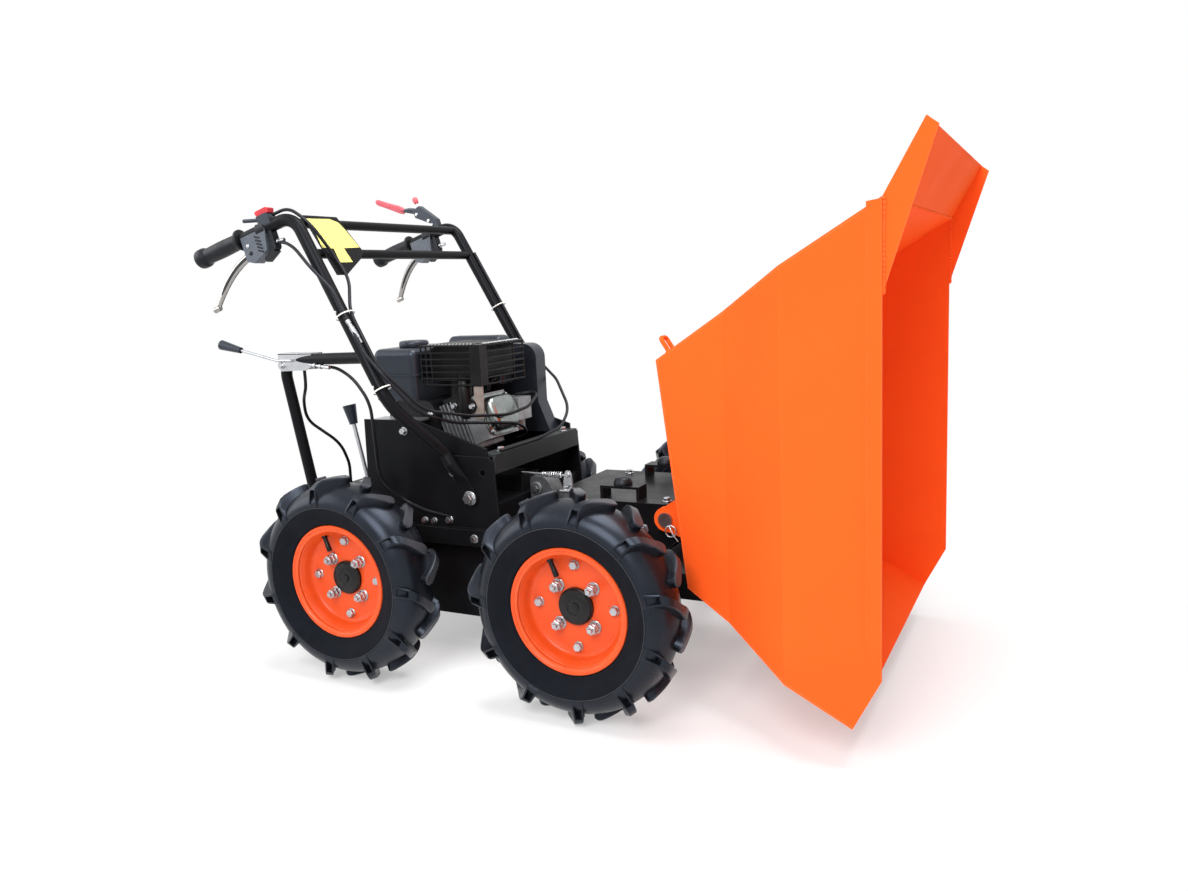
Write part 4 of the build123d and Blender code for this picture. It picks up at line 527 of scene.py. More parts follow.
class Shell:
    """Closed meshes under construction, in millimetres of the drawing frame."""

    def __init__(self) -> None:
        """Start with nothing."""
        self.mesh = bmesh.new()

    def skin(self, rows: Sequence[Sequence[Vector]], loop: bool = False) -> None:
        """Stretch a skin over rings of points.

        Args:
            rows: rings with the same count of points, one after the other.
            loop: join the last ring to the first instead of closing both ends.
        """
        made = [[self.mesh.verts.new(point) for point in row] for row in rows]
        count = len(made[0])
        after = made[1:] + made[:1] if loop else made[1:]
        for near, far in zip(made, after):
            for index in range(count):
                other = (index + 1) % count
                self.mesh.faces.new((near[index], near[other], far[other], far[index]))
        if not loop:
            self.mesh.faces.new(made[0])
            self.mesh.faces.new(made[-1])

    def spin(self, profile: Sequence[Point], stand: Matrix, steps: int = 32, loop: bool = False) -> None:
        """Turn a profile about the Z of a frame.

        Args:
            profile: radius and height pairs.
            stand: the frame that it stands in.
            steps: points round the ring.
            loop: the profile is closed on itself.
        """
        ring = round_turns(steps)
        rows = []
        for radius, height in profile:
            size = max(radius, POLE)
            rows.append([on_ring(stand, size, turn, height) for turn in ring])
        self.skin(rows, loop)

    def prism(self, outline: Sequence[Point], stand: Matrix, thick: float, edge: float = 0.6) -> None:
        """Raise an outline to a plate with chamfered edges.

        Args:
            outline: X and Y pairs in the frame.
            stand: the frame that it stands in.
            thick: its height along Z.
            edge: size of the chamfers.
        """
        middle = Vector((sum(p[0] for p in outline), sum(p[1] for p in outline))) / len(outline)
        reach = max((Vector(p[:2]) - middle).length for p in outline)
        small = 1 - edge / reach
        rows = []
        for height, size in ((0, small), (edge, 1), (thick - edge, 1), (thick, small)):
            points = [middle + (Vector(p[:2]) - middle) * size for p in outline]
            rows.append([stand @ Vector((p.x, p.y, height)) for p in points])
        self.skin(rows)

    def hexagon(self, stand: Matrix, across: float, tall: float, washer: float = 0.0) -> None:
        """Hex head with a chamfered top, on a washer if it has one.

        Args:
            stand: the frame on the face that it sits on.
            across: size across flats.
            tall: height of the head.
            washer: radius of the washer.
        """
        base = 0.0
        if washer:
            base = 0.12 * washer + 0.8
            self.spin([(washer, -0.4), (washer, 0.7 * base), (0.94 * washer, base), (0.3 * washer, base)],
                      stand, 24)
        radius = across / math.sqrt(3)
        rows = []
        for height, size in ((base - 0.2, 1.0), (base + 0.8 * tall, 1.0), (base + tall, 0.84)):
            rows.append([on_ring(stand, size * radius, turn, height) for turn in round_turns(6)])
        self.skin(rows)

    def slab(self, outline: Sequence[Point], layers: Sequence[float]) -> None:
        """Plate that stands upright along the machine.

        Args:
            outline: its X and Z pairs.
            layers: the Y of each copy of the outline, from one face to the other.
        """
        self.skin([[Vector((x, y, z)) for x, z in outline] for y in layers])

    def tube(self, path: Sequence[Point], radius: float | Sequence[float], sides: int = 12) -> None:
        """Round bar along a path.

        Args:
            path: the points of its middle line.
            radius: one radius, or one for each point.
            sides: points round the bar.
        """
        points = [Vector(p) for p in path]
        sizes = [radius] * len(points) if isinstance(radius, (int, float)) else list(radius)
        ways = []
        for index in range(len(points)):
            before = points[max(index - 1, 0)]
            after = points[min(index + 1, len(points) - 1)]
            ways.append((after - before).normalized())
        start = Vector(UP) if abs(ways[0].z) < 0.9 else Vector((1, 0, 0))
        side = ways[0].cross(start).normalized()
        ring = round_turns(sides)
        rows = []
        for point, way, size in zip(points, ways, sizes):
            side = (side - way * side.dot(way)).normalized()
            other = way.cross(side)
            rows.append([point + (side * math.cos(a) + other * math.sin(a)) * size for a in ring])
        self.skin(rows)

    def ribbon(self, path: Sequence[Point], widths: Sequence[float], thick: float, wide: Point) -> None:
        """Flat bar with rounded edges along a path.

        Args:
            path: the points of its middle line.
            widths: its width at each point.
            thick: its thickness.
            wide: the way that its width lies, roughly.
        """
        points = [Vector(p) for p in path]
        arc_steps = 6
        rows = []
        for index, (point, width) in enumerate(zip(points, widths)):
            way = (points[min(index + 1, len(points) - 1)] - points[max(index - 1, 0)]).normalized()
            side = Vector(wide)
            side = (side - way * side.dot(way)).normalized()
            flat = way.cross(side)
            half = width / 2 - thick / 2
            ring = []
            for end in SIDES:
                for step in range(arc_steps + 1):
                    angle = math.pi * (step / arc_steps - 0.5)
                    across = end * (half + 0.5 * thick * math.cos(angle))
                    ring.append(point + side * across + flat * (end * 0.5 * thick * math.sin(angle)))
            rows.append(ring)
        self.skin(rows)

    def pillow(self, rows: Sequence[Triple], stand: Matrix, power: float,
               sides: int = 40) -> None:
        """Stack of rounded rectangles.

        Args:
            rows: half width, half height and Z of each layer.
            stand: the frame that it stands in.
            power: how square the rectangles are.
            sides: points round each layer.
        """
        made = []
        for half_x, half_y, height in rows:
            ring = []
            for angle in round_turns(sides):
                c, s = math.cos(angle), math.sin(angle)
                x = half_x * math.copysign(abs(c) ** (2 / power), c)
                y = half_y * math.copysign(abs(s) ** (2 / power), s)
                ring.append(stand @ Vector((x, y, height)))
            made.append(ring)
        self.skin(made)

    def bead(self, start: Point, end: Point, radius: float, pitch: float = 6.0) -> None:
        """Rippled weld bead between two points.

        Args:
            start: its first end.
            end: its other end.
            radius: its mean radius.
            pitch: distance between ripples.
        """
        run = Vector(end) - Vector(start)
        count = max(int(run.length / pitch) * 4, 8)
        path = [Vector(start) + run * (step / count) for step in range(count + 1)]
        # Even ripples with a slower swing over them, and thinner ends.
        sizes = [radius * (1 + 0.22 * math.sin(step * math.pi / 2) + 0.1 * math.sin(1.7 * step))
                 for step in range(count + 1)]
        sizes[0] = sizes[-1] = 0.6 * radius
        self.tube(path, sizes, 8)

    def finish(self, name: str, look: Finish, body: str, origin: Point | None = None,
               sharp: float = 38.0) -> bpy.types.Object:
        """Turn the shell into a dressed piece that rides on a body.

        Args:
            name: the piece's name.
            look: its finish.
            body: the body that it moves with.
            origin: where the piece's own origin stands, in the drawing frame.
            sharp: edges that turn by more degrees than this stay sharp.

        Returns:
            The new object.
        """
        home = packed(origin) if origin is not None else Vector((0, 0, 0))
        for vert in self.mesh.verts:
            vert.co = packed(vert.co) - home
        bmesh.ops.recalc_face_normals(self.mesh, faces=self.mesh.faces)
        data = bpy.data.meshes.new(name)
        self.mesh.to_mesh(data)
        self.mesh.free()
        data.polygons.foreach_set("use_smooth", [True] * len(data.polygons))
        data.set_sharp_from_angle(angle=math.radians(sharp))
        data.materials.append(look.material())
        piece = bpy.data.objects.new(name, data)
        piece.location = home
        link(piece)
        bpy.context.view_layer.update()
        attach(piece, body)
        LOG.info("built %s on %s", name, body)
        return piece


@dataclass
class Wheel:
    """One wheel: its tyre, rim, nuts and valve.

    The front and rear starts turn the row of bars. A bar's lead is its place along the tread at the middle,
    its slope is how far it runs back on the way outwards, and skew and squeeze turn its width square to that.
    """

    place: str
    bars: int = 11
    front_start: float = 15.7
    rear_start: float = -2.5
    bar_lead: float = 19.5
    bar_slope: float = 0.78
    bar_skew: float = 0.61
    bar_squeeze: float = 0.21
    bar_radius: float = 204.0
    half_width: float = 54.6
    nut_circle: float = 50.0
    bolt_circle: float = 76.0
    disc_y: float = -1.0
    valve_degrees: float = 118.0
    valve_foot: float = 98.0
    valve_tip: float = 62.0

    @property
    def body(self) -> str:
        """Body that the pieces of the wheel ride on."""
        return f"wheel_{self.place}"

    @property
    def side(self) -> int:
        """Side of the machine, +1 for the right."""
        return WHEELS[self.place][1]

    def centre(self) -> Vector:
        """Middle of the wheel in the drawing frame."""
        return Vector((WHEELS[self.place][0], self.side * TRACK_HALF, AXLE_Z))

    def out(self, across: float, outward: float, up: float) -> Vector:
        """Point of the wheel from its distance across, out of the machine and up."""
        return self.centre() + Vector((across, self.side * outward, up))

    def polar(self, radius: float, turn: float, outward: float) -> Vector:
        """Point of the wheel by its radius, its angle from the front and its way out of the machine."""
        return self.out(radius * math.cos(turn), outward, radius * math.sin(turn))

    def facing(self, point: Point) -> Matrix:
        """Frame on a point that looks out of the machine."""
        return seat(point, (0, self.side, 0))

    def on_face(self, radius: float, turn: float, outward: float) -> Matrix:
        """Frame on the wheel's face that looks out of the machine."""
        return self.facing(self.polar(radius, turn, outward))

    def build(self) -> None:
        """Make every piece of the wheel."""
        self.build_tyre()
        self.build_rim()
        self.build_fasteners()
        self.build_valve()

    def build_tyre(self) -> None:
        """Round casing with a flat lower sidewall, a mould line and slanted bars."""
        half = [(105, 31), (106, 33), (116.6, 33), (118, 36.5), (121, 39), (123.5, 39.4), (126, 40),
                (133, 44.6), (142, 49.2), (151, 52.2), (154, 53), (154.8, 53.4), (155.8, 53.5), (156.6, 53.2),
                (161, 53), (166, 51.8), (171, 49.6), (176, 46.4), (181, 42), (186, 35.6), (190.4, 27.4),
                (193.4, 18), (195.4, 8)]
        profile = half + [(196, 0)] + [(r, -y) for r, y in reversed(half)]
        shell = Shell()
        shell.spin(profile, self.facing(self.centre()), 96, loop=True)
        start = math.radians(self.front_start if self.place.startswith("front") else self.rear_start)
        for side in SIDES:
            shift = 0.0 if side > 0 else 0.5
            for index in range(self.bars):
                self.add_bar(shell, start + 2 * math.pi * (index + shift) / self.bars, side)
        tyre = shell.finish(f"tyre_tread_{self.place}", TYRE_RUBBER, self.body,
                            self.centre(), 36)
        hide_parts(f"tyre_{self.place}")

    def add_bar(self, shell: Shell, turn: float, side: int) -> None:
        """One tread bar from its rounded paddle at the crown to its flared end with a pocket at the shoulder.

        Args:
            shell: the mesh that takes it.
            turn: its place round the wheel.
            side: +1 for the outer half of the tread and -1 for the inner.
        """
        # Y and radius of the top, Y and radius of the root, half width of both, slant and pocket depth.
        stations = [
            (-11.0, 205.6, -8.0, 190.0, 3.4, 4.6, 1.0, 0.0),
            (-9.4, 208.6, -7.6, 190.0, 6.8, 8.2, 1.0, 0.0),
            (-5.0, 210.0, -4.6, 189.0, 9.6, 11.2, 1.0, 0.0),
            (2.0, 210.2, 1.6, 189.0, 10.0, 12.0, 1.0, 0.0),
            (10.0, 210.2, 9.0, 188.0, 8.4, 10.8, 1.0, 0.0),
            (19.0, 209.8, 17.0, 187.0, 7.2, 9.8, 1.0, 0.0),
            (30.0, 208.4, 26.0, 182.0, 7.2, 10.4, 0.9, 0.0),
            (39.0, 205.0, 33.0, 176.0, 8.0, 12.4, 0.7, 0.0),
            (45.4, 199.6, 38.0, 172.0, 9.0, 14.2, 0.45, 0.0),
            (48.4, 195.4, 41.0, 169.0, 9.6, 15.0, 0.3, 0.0),
            (49.8, 191.6, 42.0, 167.0, 10.2, 15.6, 0.2, 0.0),
            (50.2, 190.4, 42.4, 166.0, 10.4, 15.8, 0.2, 12.0),
            (53.6, 167.0, 45.0, 162.0, 13.6, 16.6, 0.05, 12.0),
            (53.8, 165.8, 45.0, 161.0, 13.8, 16.6, 0.05, 0.0),
            (54.4, 158.4, 46.0, 156.0, 14.6, 16.8, 0.0, 0.0),
            (53.4, 157.0, 46.0, 155.0, 14.6, 16.4, 0.0, 0.0),
        ]
        rows = []
        for y, r, root_y, root_r, top, root, slant, pocket in stations:
            half = [(root, 1.0, 0.0), (0.3 * root + 0.7 * top, 0.4, 0.0), (1.02 * top, 0.05, 0.0),
                    (0.9 * top, 0.0, 0.0), (0.66 * top, 0.0, 0.0), (0.6 * top, 0.0, pocket)]
            row = []
            for step, depth, sink in [(-s, d, k) for s, d, k in half] + half[::-1]:
                along = self.bar_lead - self.bar_slope * y + step * (1 - self.bar_squeeze * slant)
                out = y + (root_y - y) * depth + self.bar_skew * slant * step - sink
                radius = r + (root_r - r) * depth
                angle = turn + along / self.bar_radius
                row.append(self.out(radius * math.sin(angle), side * min(out, self.half_width),
                                    radius * math.cos(angle)))
            rows.append(row)
        shell.skin(rows)

    def build_rim(self) -> None:
        """Pressed rim with a rolled lip, a coned well and a flat disc inside a shallow step."""
        profile = [(34.3, -1), (82, -1), (84, -0.4), (86, 1), (88.5, 1.8), (92, 3.6), (94.5, 8),
                   (96.2, 15), (99, 21.5), (104.5, 28.5), (107.5, 33), (109.6, 36), (112.4, 37),
                   (114.8, 36.4), (116, 34.8), (116, 33.4), (103.7, 33.3), (103.7, -33.3), (116, -33.3),
                   (116, -37), (110, -37), (96, -29), (92, -5), (34.3, -5)]
        shell = Shell()
        shell.spin(profile, self.facing(self.centre()), 80, loop=True)
        rim = shell.finish(f"pressed_rim_{self.place}", RIM_ORANGE, self.body)
        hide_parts(f"rim_{self.place}")

    def build_fasteners(self) -> None:
        """Stacked wheel nuts on the diagonals and rim bolts between them."""
        shell = Shell()
        for index in range(4):
            turn = math.pi / 2 * index
            nut = self.on_face(self.nut_circle, turn + math.pi / 4, self.disc_y)
            shell.hexagon(nut, 19, 9, 12.5)
            shell.spin([(7.4, 10), (9.6, 11.4), (9.6, 13), (5, 13.2)], nut, 20)
            shell.hexagon(nut @ Matrix.Translation((0, 0, 13)) @ Matrix.Rotation(0.4, 4, "Z"), 17, 7)
            shell.spin([(5, 18), (5, 23.4), (4.2, 24.6), (0, 24.6)], nut, 16)
            shell.hexagon(self.on_face(self.bolt_circle, turn, self.disc_y), 15, 7, 9.5)
        shell.finish(f"wheel_nuts_{self.place}", ZINC_STEEL, self.body)

    def build_valve(self) -> None:
        """Rubber valve stem that points from the well to the hub, and the ridged hub cap."""
        shell = Shell()
        turn = math.radians(self.valve_degrees)
        foot = self.polar(self.valve_foot, turn, 9)
        tip = self.polar(self.valve_tip, turn, 14)
        shell.spin([(7, -2), (7, 2), (5.6, 5), (4.6, 8), (4.6, 22), (5.2, 22.5), (5.2, 34), (4, 36), (0, 36)],
                   seat(foot, tip - foot), 16)
        shell.spin([(30, -9), (32.6, -8), (32.6, -1), (31, 1), (27, 1.4), (25.5, 2.4), (15, 2.4), (14, 1),
                    (9, 1), (8, 3.4), (0, 3.6)], self.facing(self.out(0, 8, 0)), 36)
        shell.finish(f"valve_and_cap_{self.place}", HUB_BLACK, self.body)


@dataclass
class FrameFittings:
    """Bolts and small fittings of the chassis.

    The blade is the thickness of the handlebar's foot on a side plate. The gearbox lid has a bolt on each
    boss, given by its X and Z.
    """

    plate_y: float = 186.0
    blade: float = 8.0
    lid_bolts: tuple[tuple[float, float], ...] = ((2, 262), (54, 262), (2, 318), (40, 322))
    coil_points: int = 90
    coil_turn: int = 10

    def build(self) -> None:
        """Make the bolts of the frame, the buffers and the fittings of the latch and hinge."""
        self.build_bolts()
        self.build_buffers()
        self.build_latch()
        self.build_rests()
        self.build_gearbox()
        self.build_pin_rings()

    def build_bolts(self) -> None:
        """Hex bolts on the side plates, rails, cross angle, shelf and front frame."""
        shell = Shell()
        for side in SIDES:
            out = (0, side, 0)
            for x, z, size in ((-233, 485, 13), (-194, 293, 11), (-170, 293, 11), (-130, 298, 13)):
                shell.hexagon(seat((x, side * self.plate_y, z), out), size, 0.6 * size, 0.7 * size)
            shell.hexagon(seat((-69, side * (self.plate_y + self.blade), 350), out), 20, 11, 15)
            shell.hexagon(seat((-106, side * (self.plate_y + self.blade), 402), out), 13, 7, 9)
            shell.hexagon(seat((-59, side * 202, 266), out), 13, 7, 9)
            shell.hexagon(seat((-25, side * 134, 441), UP), 13, 7, 9.5)
            for x in (200, 300):
                shell.hexagon(seat((x, side * 143, 300), out), 13, 7, 9.5)
            for x in (150, 340):
                shell.hexagon(seat((x, side * 118, 352), UP), 13, 6, 9.5)
            shell.hexagon(seat((-380, side * 150, 336), UP), 13, 7, 9.5)
        for x, y in ((-478, 210), (-442, 210), (-478, 246), (-442, 246)):
            shell.hexagon(seat((x, y, 341), UP), 10, 5, 7)
        shell.hexagon(seat((8.5, 56, 346), RIGHT), 13, 7)
        for x, z in self.lid_bolts:
            shell.hexagon(seat((x, 58, z), RIGHT), 8, 4)
        shell.finish("frame_bolts", ZINC_STEEL, "chassis")

    def build_buffers(self) -> None:
        """Rounded rubber buffers that the lowered skip rests on."""
        shell = Shell()
        for side in SIDES:
            shell.spin([(17.5, 0), (19, 1), (19, 4.5), (17.6, 7), (16.4, 10.5), (13.6, 13.6), (9, 15.4),
                        (0, 16)], seat((243, side * 110, 379), UP), 28)
        buffers = shell.finish("rounded_buffers", RUBBER_BLACK, "chassis")
        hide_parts("bump_stops")

    def build_latch(self) -> None:
        """Upright latch plate with a rounded top, its thin rod and the short spring on it."""
        shell = Shell()
        outline = [(92, 352), (114, 352), (113, 372), (110, 388), (107, 394), (99, 394), (96, 388), (93, 372)]
        shell.slab(outline, (80, 85))
        shell.prism(rectangle(11, 10), seat((103, 92, 352), UP), 5)
        shell.hexagon(seat((103, 94, 357), UP), 10, 5, 7)
        shell.hexagon(seat((103, 85, 385), RIGHT), 9, 4, 6)
        shell.tube([(-9, 82.5, 386), (34, 82.5, 385), (98, 82.5, 384)], 2.2, 10)
        path = []
        for step in range(self.coil_points):
            angle = 2 * math.pi * step / self.coil_turn
            share = step / (self.coil_points - 1)
            size = 6.2 - 2.2 * share
            path.append((88 - 48 * share, 82.5 + size * math.cos(angle), 384.4 + size * math.sin(angle)))
        shell.tube(path, 1.3, 6)
        latch = shell.finish("latch_and_spring", ZINC_STEEL, "chassis")
        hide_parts("latch_lever")

    def build_rests(self) -> None:
        """Zinc strips beside the crankcase at the top of the side plates."""
        shell = Shell()
        for side in SIDES:
            outline = [(-338, 116), (-216, 116), (-216, 180), (-338, 180)]
            shell.skin([[Vector((x, side * y, z)) for x, y in outline] for z in (501, 505)])
        shell.finish("side_strips", ZINC_STEEL, "chassis")

    def build_gearbox(self) -> None:
        """Cast gearbox with a sloping front, ribs on its lid and a round boss on its near face."""
        shell = Shell()
        outline = [(-7, 251), (68, 251), (70, 262), (62, 300), (48, 340), (38, 360), (30, 369), (22, 372),
                   (0, 372), (-5, 370), (-7, 364)]
        shell.slab(outline, (8, 10, 52, 54))
        lower = [(-6, 251), (66, 251), (60, 290), (44, 318), (-6, 318)]
        shell.slab(lower, (-40, 9))
        for y in (18, 31, 44):
            shell.prism(rectangle(11, 1.6), seat((11, y, 371), UP), 3)
        near = seat((8.5, 53, 346), RIGHT)
        shell.spin([(15, 0), (15, 3), (13, 5), (9.4, 5.4), (9.4, 3), (0, 3)], near, 28)
        for x, z in self.lid_bolts:
            shell.spin([(7.5, 0), (7.5, 3.6), (6, 5), (0, 5)], seat((x, 53, z), RIGHT), 20)
        casting = shell.finish("cast_gearbox", GEARBOX_CASTING, "chassis", sharp=40)
        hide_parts("gearbox")

    def build_pin_rings(self) -> None:
        """Spring ring that hangs on each head of the hinge pin."""
        shell = Shell()
        for side in SIDES:
            path = [(367 + 11 * math.sin(a), side * 168.6, 307 + 11 * math.cos(a)) for a in round_turns(24)]
            shell.tube(path + [(372, side * 169.6, 300), (382, side * 169.6, 288)], 1.4, 8)
        shell.finish("pin_rings", ZINC_STEEL, "chassis")


@dataclass
class SkipDetails:
    """Weld beads of the tipped skip, drawn lowered and then tipped with it."""

    tip_degrees: float = 82.4

    def tipped(self, x: float, y: float, z: float) -> Vector:
        """Point of the lowered skip after it is tipped about the hinge."""
        turn = Matrix.Rotation(math.radians(self.tip_degrees), 4, "Y")
        return HINGE + turn @ (Vector((x, y, z)) - HINGE)

    def build(self) -> None:
        """Make the beads of the guard, floor and lugs, and a ring at each foot of the latch loop."""
        shell = Shell()
        lug_half = 28
        for side in SIDES:
            y = side * 379
            shell.bead(self.tipped(-131, y, 836), self.tipped(2, y, 818), 3.2, 7)
            shell.bead(self.tipped(50, side * 244, 403), self.tipped(455, side * 244, 403), 2.2)
            for x in (-lug_half, lug_half):
                middle = HINGE.x + 0.9 * x
                start = self.tipped(middle - lug_half, side * 161.5, 399)
                shell.bead(start, self.tipped(middle + lug_half, side * 161.5, 399), 3)
        shell.bead(self.tipped(-132, -372, 836), self.tipped(-132, 372, 836), 2.4)
        shell.bead(self.tipped(456, -240, 403), self.tipped(456, 240, 403), 2.4)
        shell.bead(self.tipped(50, -240, 403), self.tipped(50, 240, 403), 2.4)
        for y in (223, 247):
            shell.spin([(4.2, 0), (7.5, 0), (7, 1.5), (5, 3.5), (4.2, 4)],
                       seat(self.tipped(39, y, 424), self.tipped(-1, 0, -0.42) - self.tipped(0, 0, 0)), 16)
        shell.finish("skip_welds", SKIP_ORANGE, "skip")


@dataclass
class Handlebar:
    """Grips, ties, sticker and fittings of the handlebar.

    The corner, the tip of the grip and the knee are points of the right tube. The film lies off the plane of
    the rising tubes and tilts a little from it.
    """

    corner: Triple = (-398.0, 279.0, 942.0)
    tip: Triple = (-654.0, 294.0, 868.0)
    knee: Triple = (-185.0, 287.0, 555.0)
    film_tilt: float = 0.0656
    film_off: float = 35.1
    lever_steps: int = 19

    def along(self) -> Vector:
        """Way of the right grip run, backwards."""
        return (Vector(self.tip) - Vector(self.corner)).normalized()

    def beside(self, along: float, up: float, out: float, side: int) -> Vector:
        """Find a point beside a grip run.

        Args:
            along: its way back from the corner.
            up: its height above the run, square to it.
            out: its distance to the outside.
            side: +1 for the right run and -1 for the left.

        Returns:
            The point in the drawing frame.
        """
        way = self.along()
        outward = way.cross(Vector(UP)).normalized()
        if outward.y < 0:
            outward = -outward
        lift = outward.cross(way)
        if lift.z < 0:
            lift = -lift
        point = Vector(self.corner) + way * along + lift * up + outward * out
        return to_side(point, side)

    def outward(self, side: int) -> Vector:
        """Way out of the machine from a grip run."""
        return self.beside(0, 0, 1, side) - self.beside(0, 0, 0, side)

    def rising(self, height: float, side: int) -> Vector:
        """Find the middle of the rising run of a tube.

        Args:
            height: its Z.
            side: +1 for the right tube and -1 for the left.

        Returns:
            The point in the drawing frame.
        """
        share = (height - self.knee[2]) / (self.corner[2] - self.knee[2])
        point = Vector(self.knee).lerp(Vector(self.corner), share)
        return to_side(point, side)

    def build(self) -> None:
        """Make every piece of the handlebar."""
        self.build_grips()
        self.build_ties()
        self.build_sticker()
        self.build_housings()
        self.build_levers()
        self.build_throttle()
        self.build_bracket()

    def build_grips(self) -> None:
        """Smooth rubber grips with a collar, a slight swell and a flanged round end."""
        profile = [(13.3, -120), (22, -120), (23, -119), (23, -115.5), (21.5, -114), (17.6, -110),
                   (16.8, -104), (17.4, -80), (17.8, -60), (17.4, -40), (16.8, -22), (17.2, -16), (20.2, -12),
                   (21, -8), (21, 2), (20, 6.4), (17, 9.6), (11, 11.6), (0, 12)]
        shell = Shell()
        for side in SIDES:
            shell.spin(profile, seat(to_side(self.tip, side), to_side(self.along(), side)), 32)
        grips = shell.finish("moulded_grips", RUBBER_BLACK, "chassis")
        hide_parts("grips")

    def build_ties(self) -> None:
        """Thin white cable ties round the tubes, each with its lock and tail, and the cable's zinc sleeve."""
        shell = Shell()
        for height, side in ((584, 1), (734, 1), (729, -1)):
            centre = self.rising(height, side)
            way = to_side((Vector(self.corner) - Vector(self.knee)).normalized(), side)
            # The tie holds the cable too, so its middle lies ahead of the tube's.
            ahead = Vector((0.876, 0, 0.482)) * 3.4
            shell.spin([(19.4, -1.3), (20.4, -1.3), (20.4, 1.3), (19.4, 1.3)],
                       Matrix.Translation(ahead) @ seat(centre, way), 28, loop=True)
            knot = centre + Vector((-6, side * 18, 9))
            shell.prism(rectangle(3, 2.4), seat(knot, (0, side, 0)), 4)
            shell.tube([knot, knot + Vector((-9, side * 7, -1)), knot + Vector((-17, side * 9, -6))],
                       [1.1, 0.9, 0.7], 6)
        shell.finish("cable_ties", NYLON_WHITE, "chassis")
        sleeve = Shell()
        start = Vector((-264.7, 296.7, 727))
        run = Vector((-239, 291, 680)) - start
        sleeve.spin([(4, 0), (5, 0.8), (5, 9), (4.2, 9.6), (4.2, 16), (5.4, 16.6), (5.4, 42), (4.4, 43),
                     (4.4, run.length)], seat(start, run), 16)
        sleeve.finish("cable_sleeve", ZINC_STEEL, "chassis")

    def build_sticker(self) -> None:
        """Blank yellow film on the control panel."""
        shell = Shell()
        # Square to the plane of the rising tubes, and up along it.
        ahead = Vector((0.87607, 0, 0.48218))
        rise = Vector((-0.48218, 0, 0.87607))
        up = rise - ahead * self.film_tilt
        out = (ahead + rise * self.film_tilt).normalized()
        base = Vector((self.knee[0], 0.0, self.knee[2])) + ahead * self.film_off
        stand = Matrix((
            (0.0, up.x, out.x, base.x), (1.0, up.y, out.y, base.y), (0.0, up.z, out.z, base.z), (0, 0, 0, 1)))
        outline = [(259, 430.5), (185.1, 432.2), (163.7, 424.2), (155.9, 406.8), (142.3, 360.2),
                   (194.3, 357.5), (191.7, 321.9), (230.8, 321.5), (225.6, 356.1), (259, 358.2),
                   (252, 392.8), (258.3, 410.9)]
        shell.prism(outline, stand, 0.5, 0.1)
        shell.finish("panel_sticker", VINYL_YELLOW, "chassis")

    def plate(self, shell: Shell, outline: Sequence[Point], low: float, high: float, side: int) -> None:
        """Plate beside a grip run between two distances to its outside.

        Args:
            shell: the mesh that takes it.
            outline: its points, along and above the grip run.
            low: its inner face.
            high: its outer face.
            side: +1 for the right run and -1 for the left.
        """
        shell.skin([[self.beside(along, up, out, side) for along, up in outline] for out in (low, high)])

    def build_housings(self) -> None:
        """Slots, screws, clamps and cable adjusters of the lever housings; the slots are dark bars of painted
        shade.
        """
        bright = Shell()
        dark = Shell()
        for side in SIDES:
            start = self.beside(40, -37, 0, side)
            way = self.beside(70, -34, 0, side) - start
            bright.spin([(2.6, 0), (4.2, 0.6), (4.2, 9), (3.4, 9.6), (3.4, 14), (6, 14.4), (6, 19),
                         (3.8, 19.6), (3.8, way.length)], seat(start, way), 14)
            outward = self.outward(side)
            bright.spin([(4.4, -0.5), (4.4, 1.4), (3, 2.6), (0, 2.8)],
                        seat(self.beside(126, -22, 14, side), outward), 16)
            dark.spin([(4.4, -0.5), (4.4, 1.2), (3, 2), (0, 2.2)],
                      seat(self.beside(124, -38, 14, side), outward), 16)
            # Five dark rubber bars on the housing's face: painted shade of its slots.
            for index in range(5):
                up = -13 - 7.4 * index
                ends = [self.beside(102, up + 3.5, 13.6, side), self.beside(90, up - 3.5, 13.6, side)]
                dark.tube(ends, 1.9, 8)
            self.plate(dark, [(60, -8), (71, -8), (71, -44), (64, -50), (60, -44)], -9, 9, side)
            self.plate(dark, [(68, -44), (98, -58), (96, -66), (66, -54)], -9, 9, side)
            lift = self.beside(0, 1, 0, side) - self.beside(0, 0, 0, side)
            for along in (82, 92):
                bright.spin([(3.6, 11), (3.6, 16), (2.6, 17.4), (0, 17.6)],
                            seat(self.beside(along, 0, 4, side), lift), 14)
            middle = self.beside(84, 0, 0, side)
            ring = seat(middle, self.beside(85, 0, 0, side) - middle)
            dark.spin([(13.2, -12), (15, -12), (15.8, -11), (15.8, 11), (15, 12), (13.2, 12)], ring, 28,
                      loop=True)
        bright.finish("lever_adjusters", ZINC_STEEL, "chassis")
        dark.finish("lever_clamps", RUBBER_BLACK, "chassis")

    def build_levers(self) -> None:
        """Chromed hand levers: a curved hollow blade that ends in a barrel, with a dark strip along the blade
        as painted shade of its hollow.
        """
        shell = Shell()
        hollow = Shell()
        for side in SIDES:
            start = self.beside(117, -38, 0, side)
            tip = Vector((-609, side * 310, 759))
            span = tip - start
            bend = start + span * 0.45 + Vector((-0.1, 0, 0.22)) * span.length
            shares = [step / self.lever_steps for step in range(self.lever_steps + 1)]
            path = [start * (1 - s) ** 2 + bend * 2 * s * (1 - s) + tip * s ** 2 for s in shares]
            across = (0.74, 0, -0.66)
            shell.ribbon(path, [16 + 4 * math.sin(math.pi * s) - 2 * s for s in shares], 6, across)
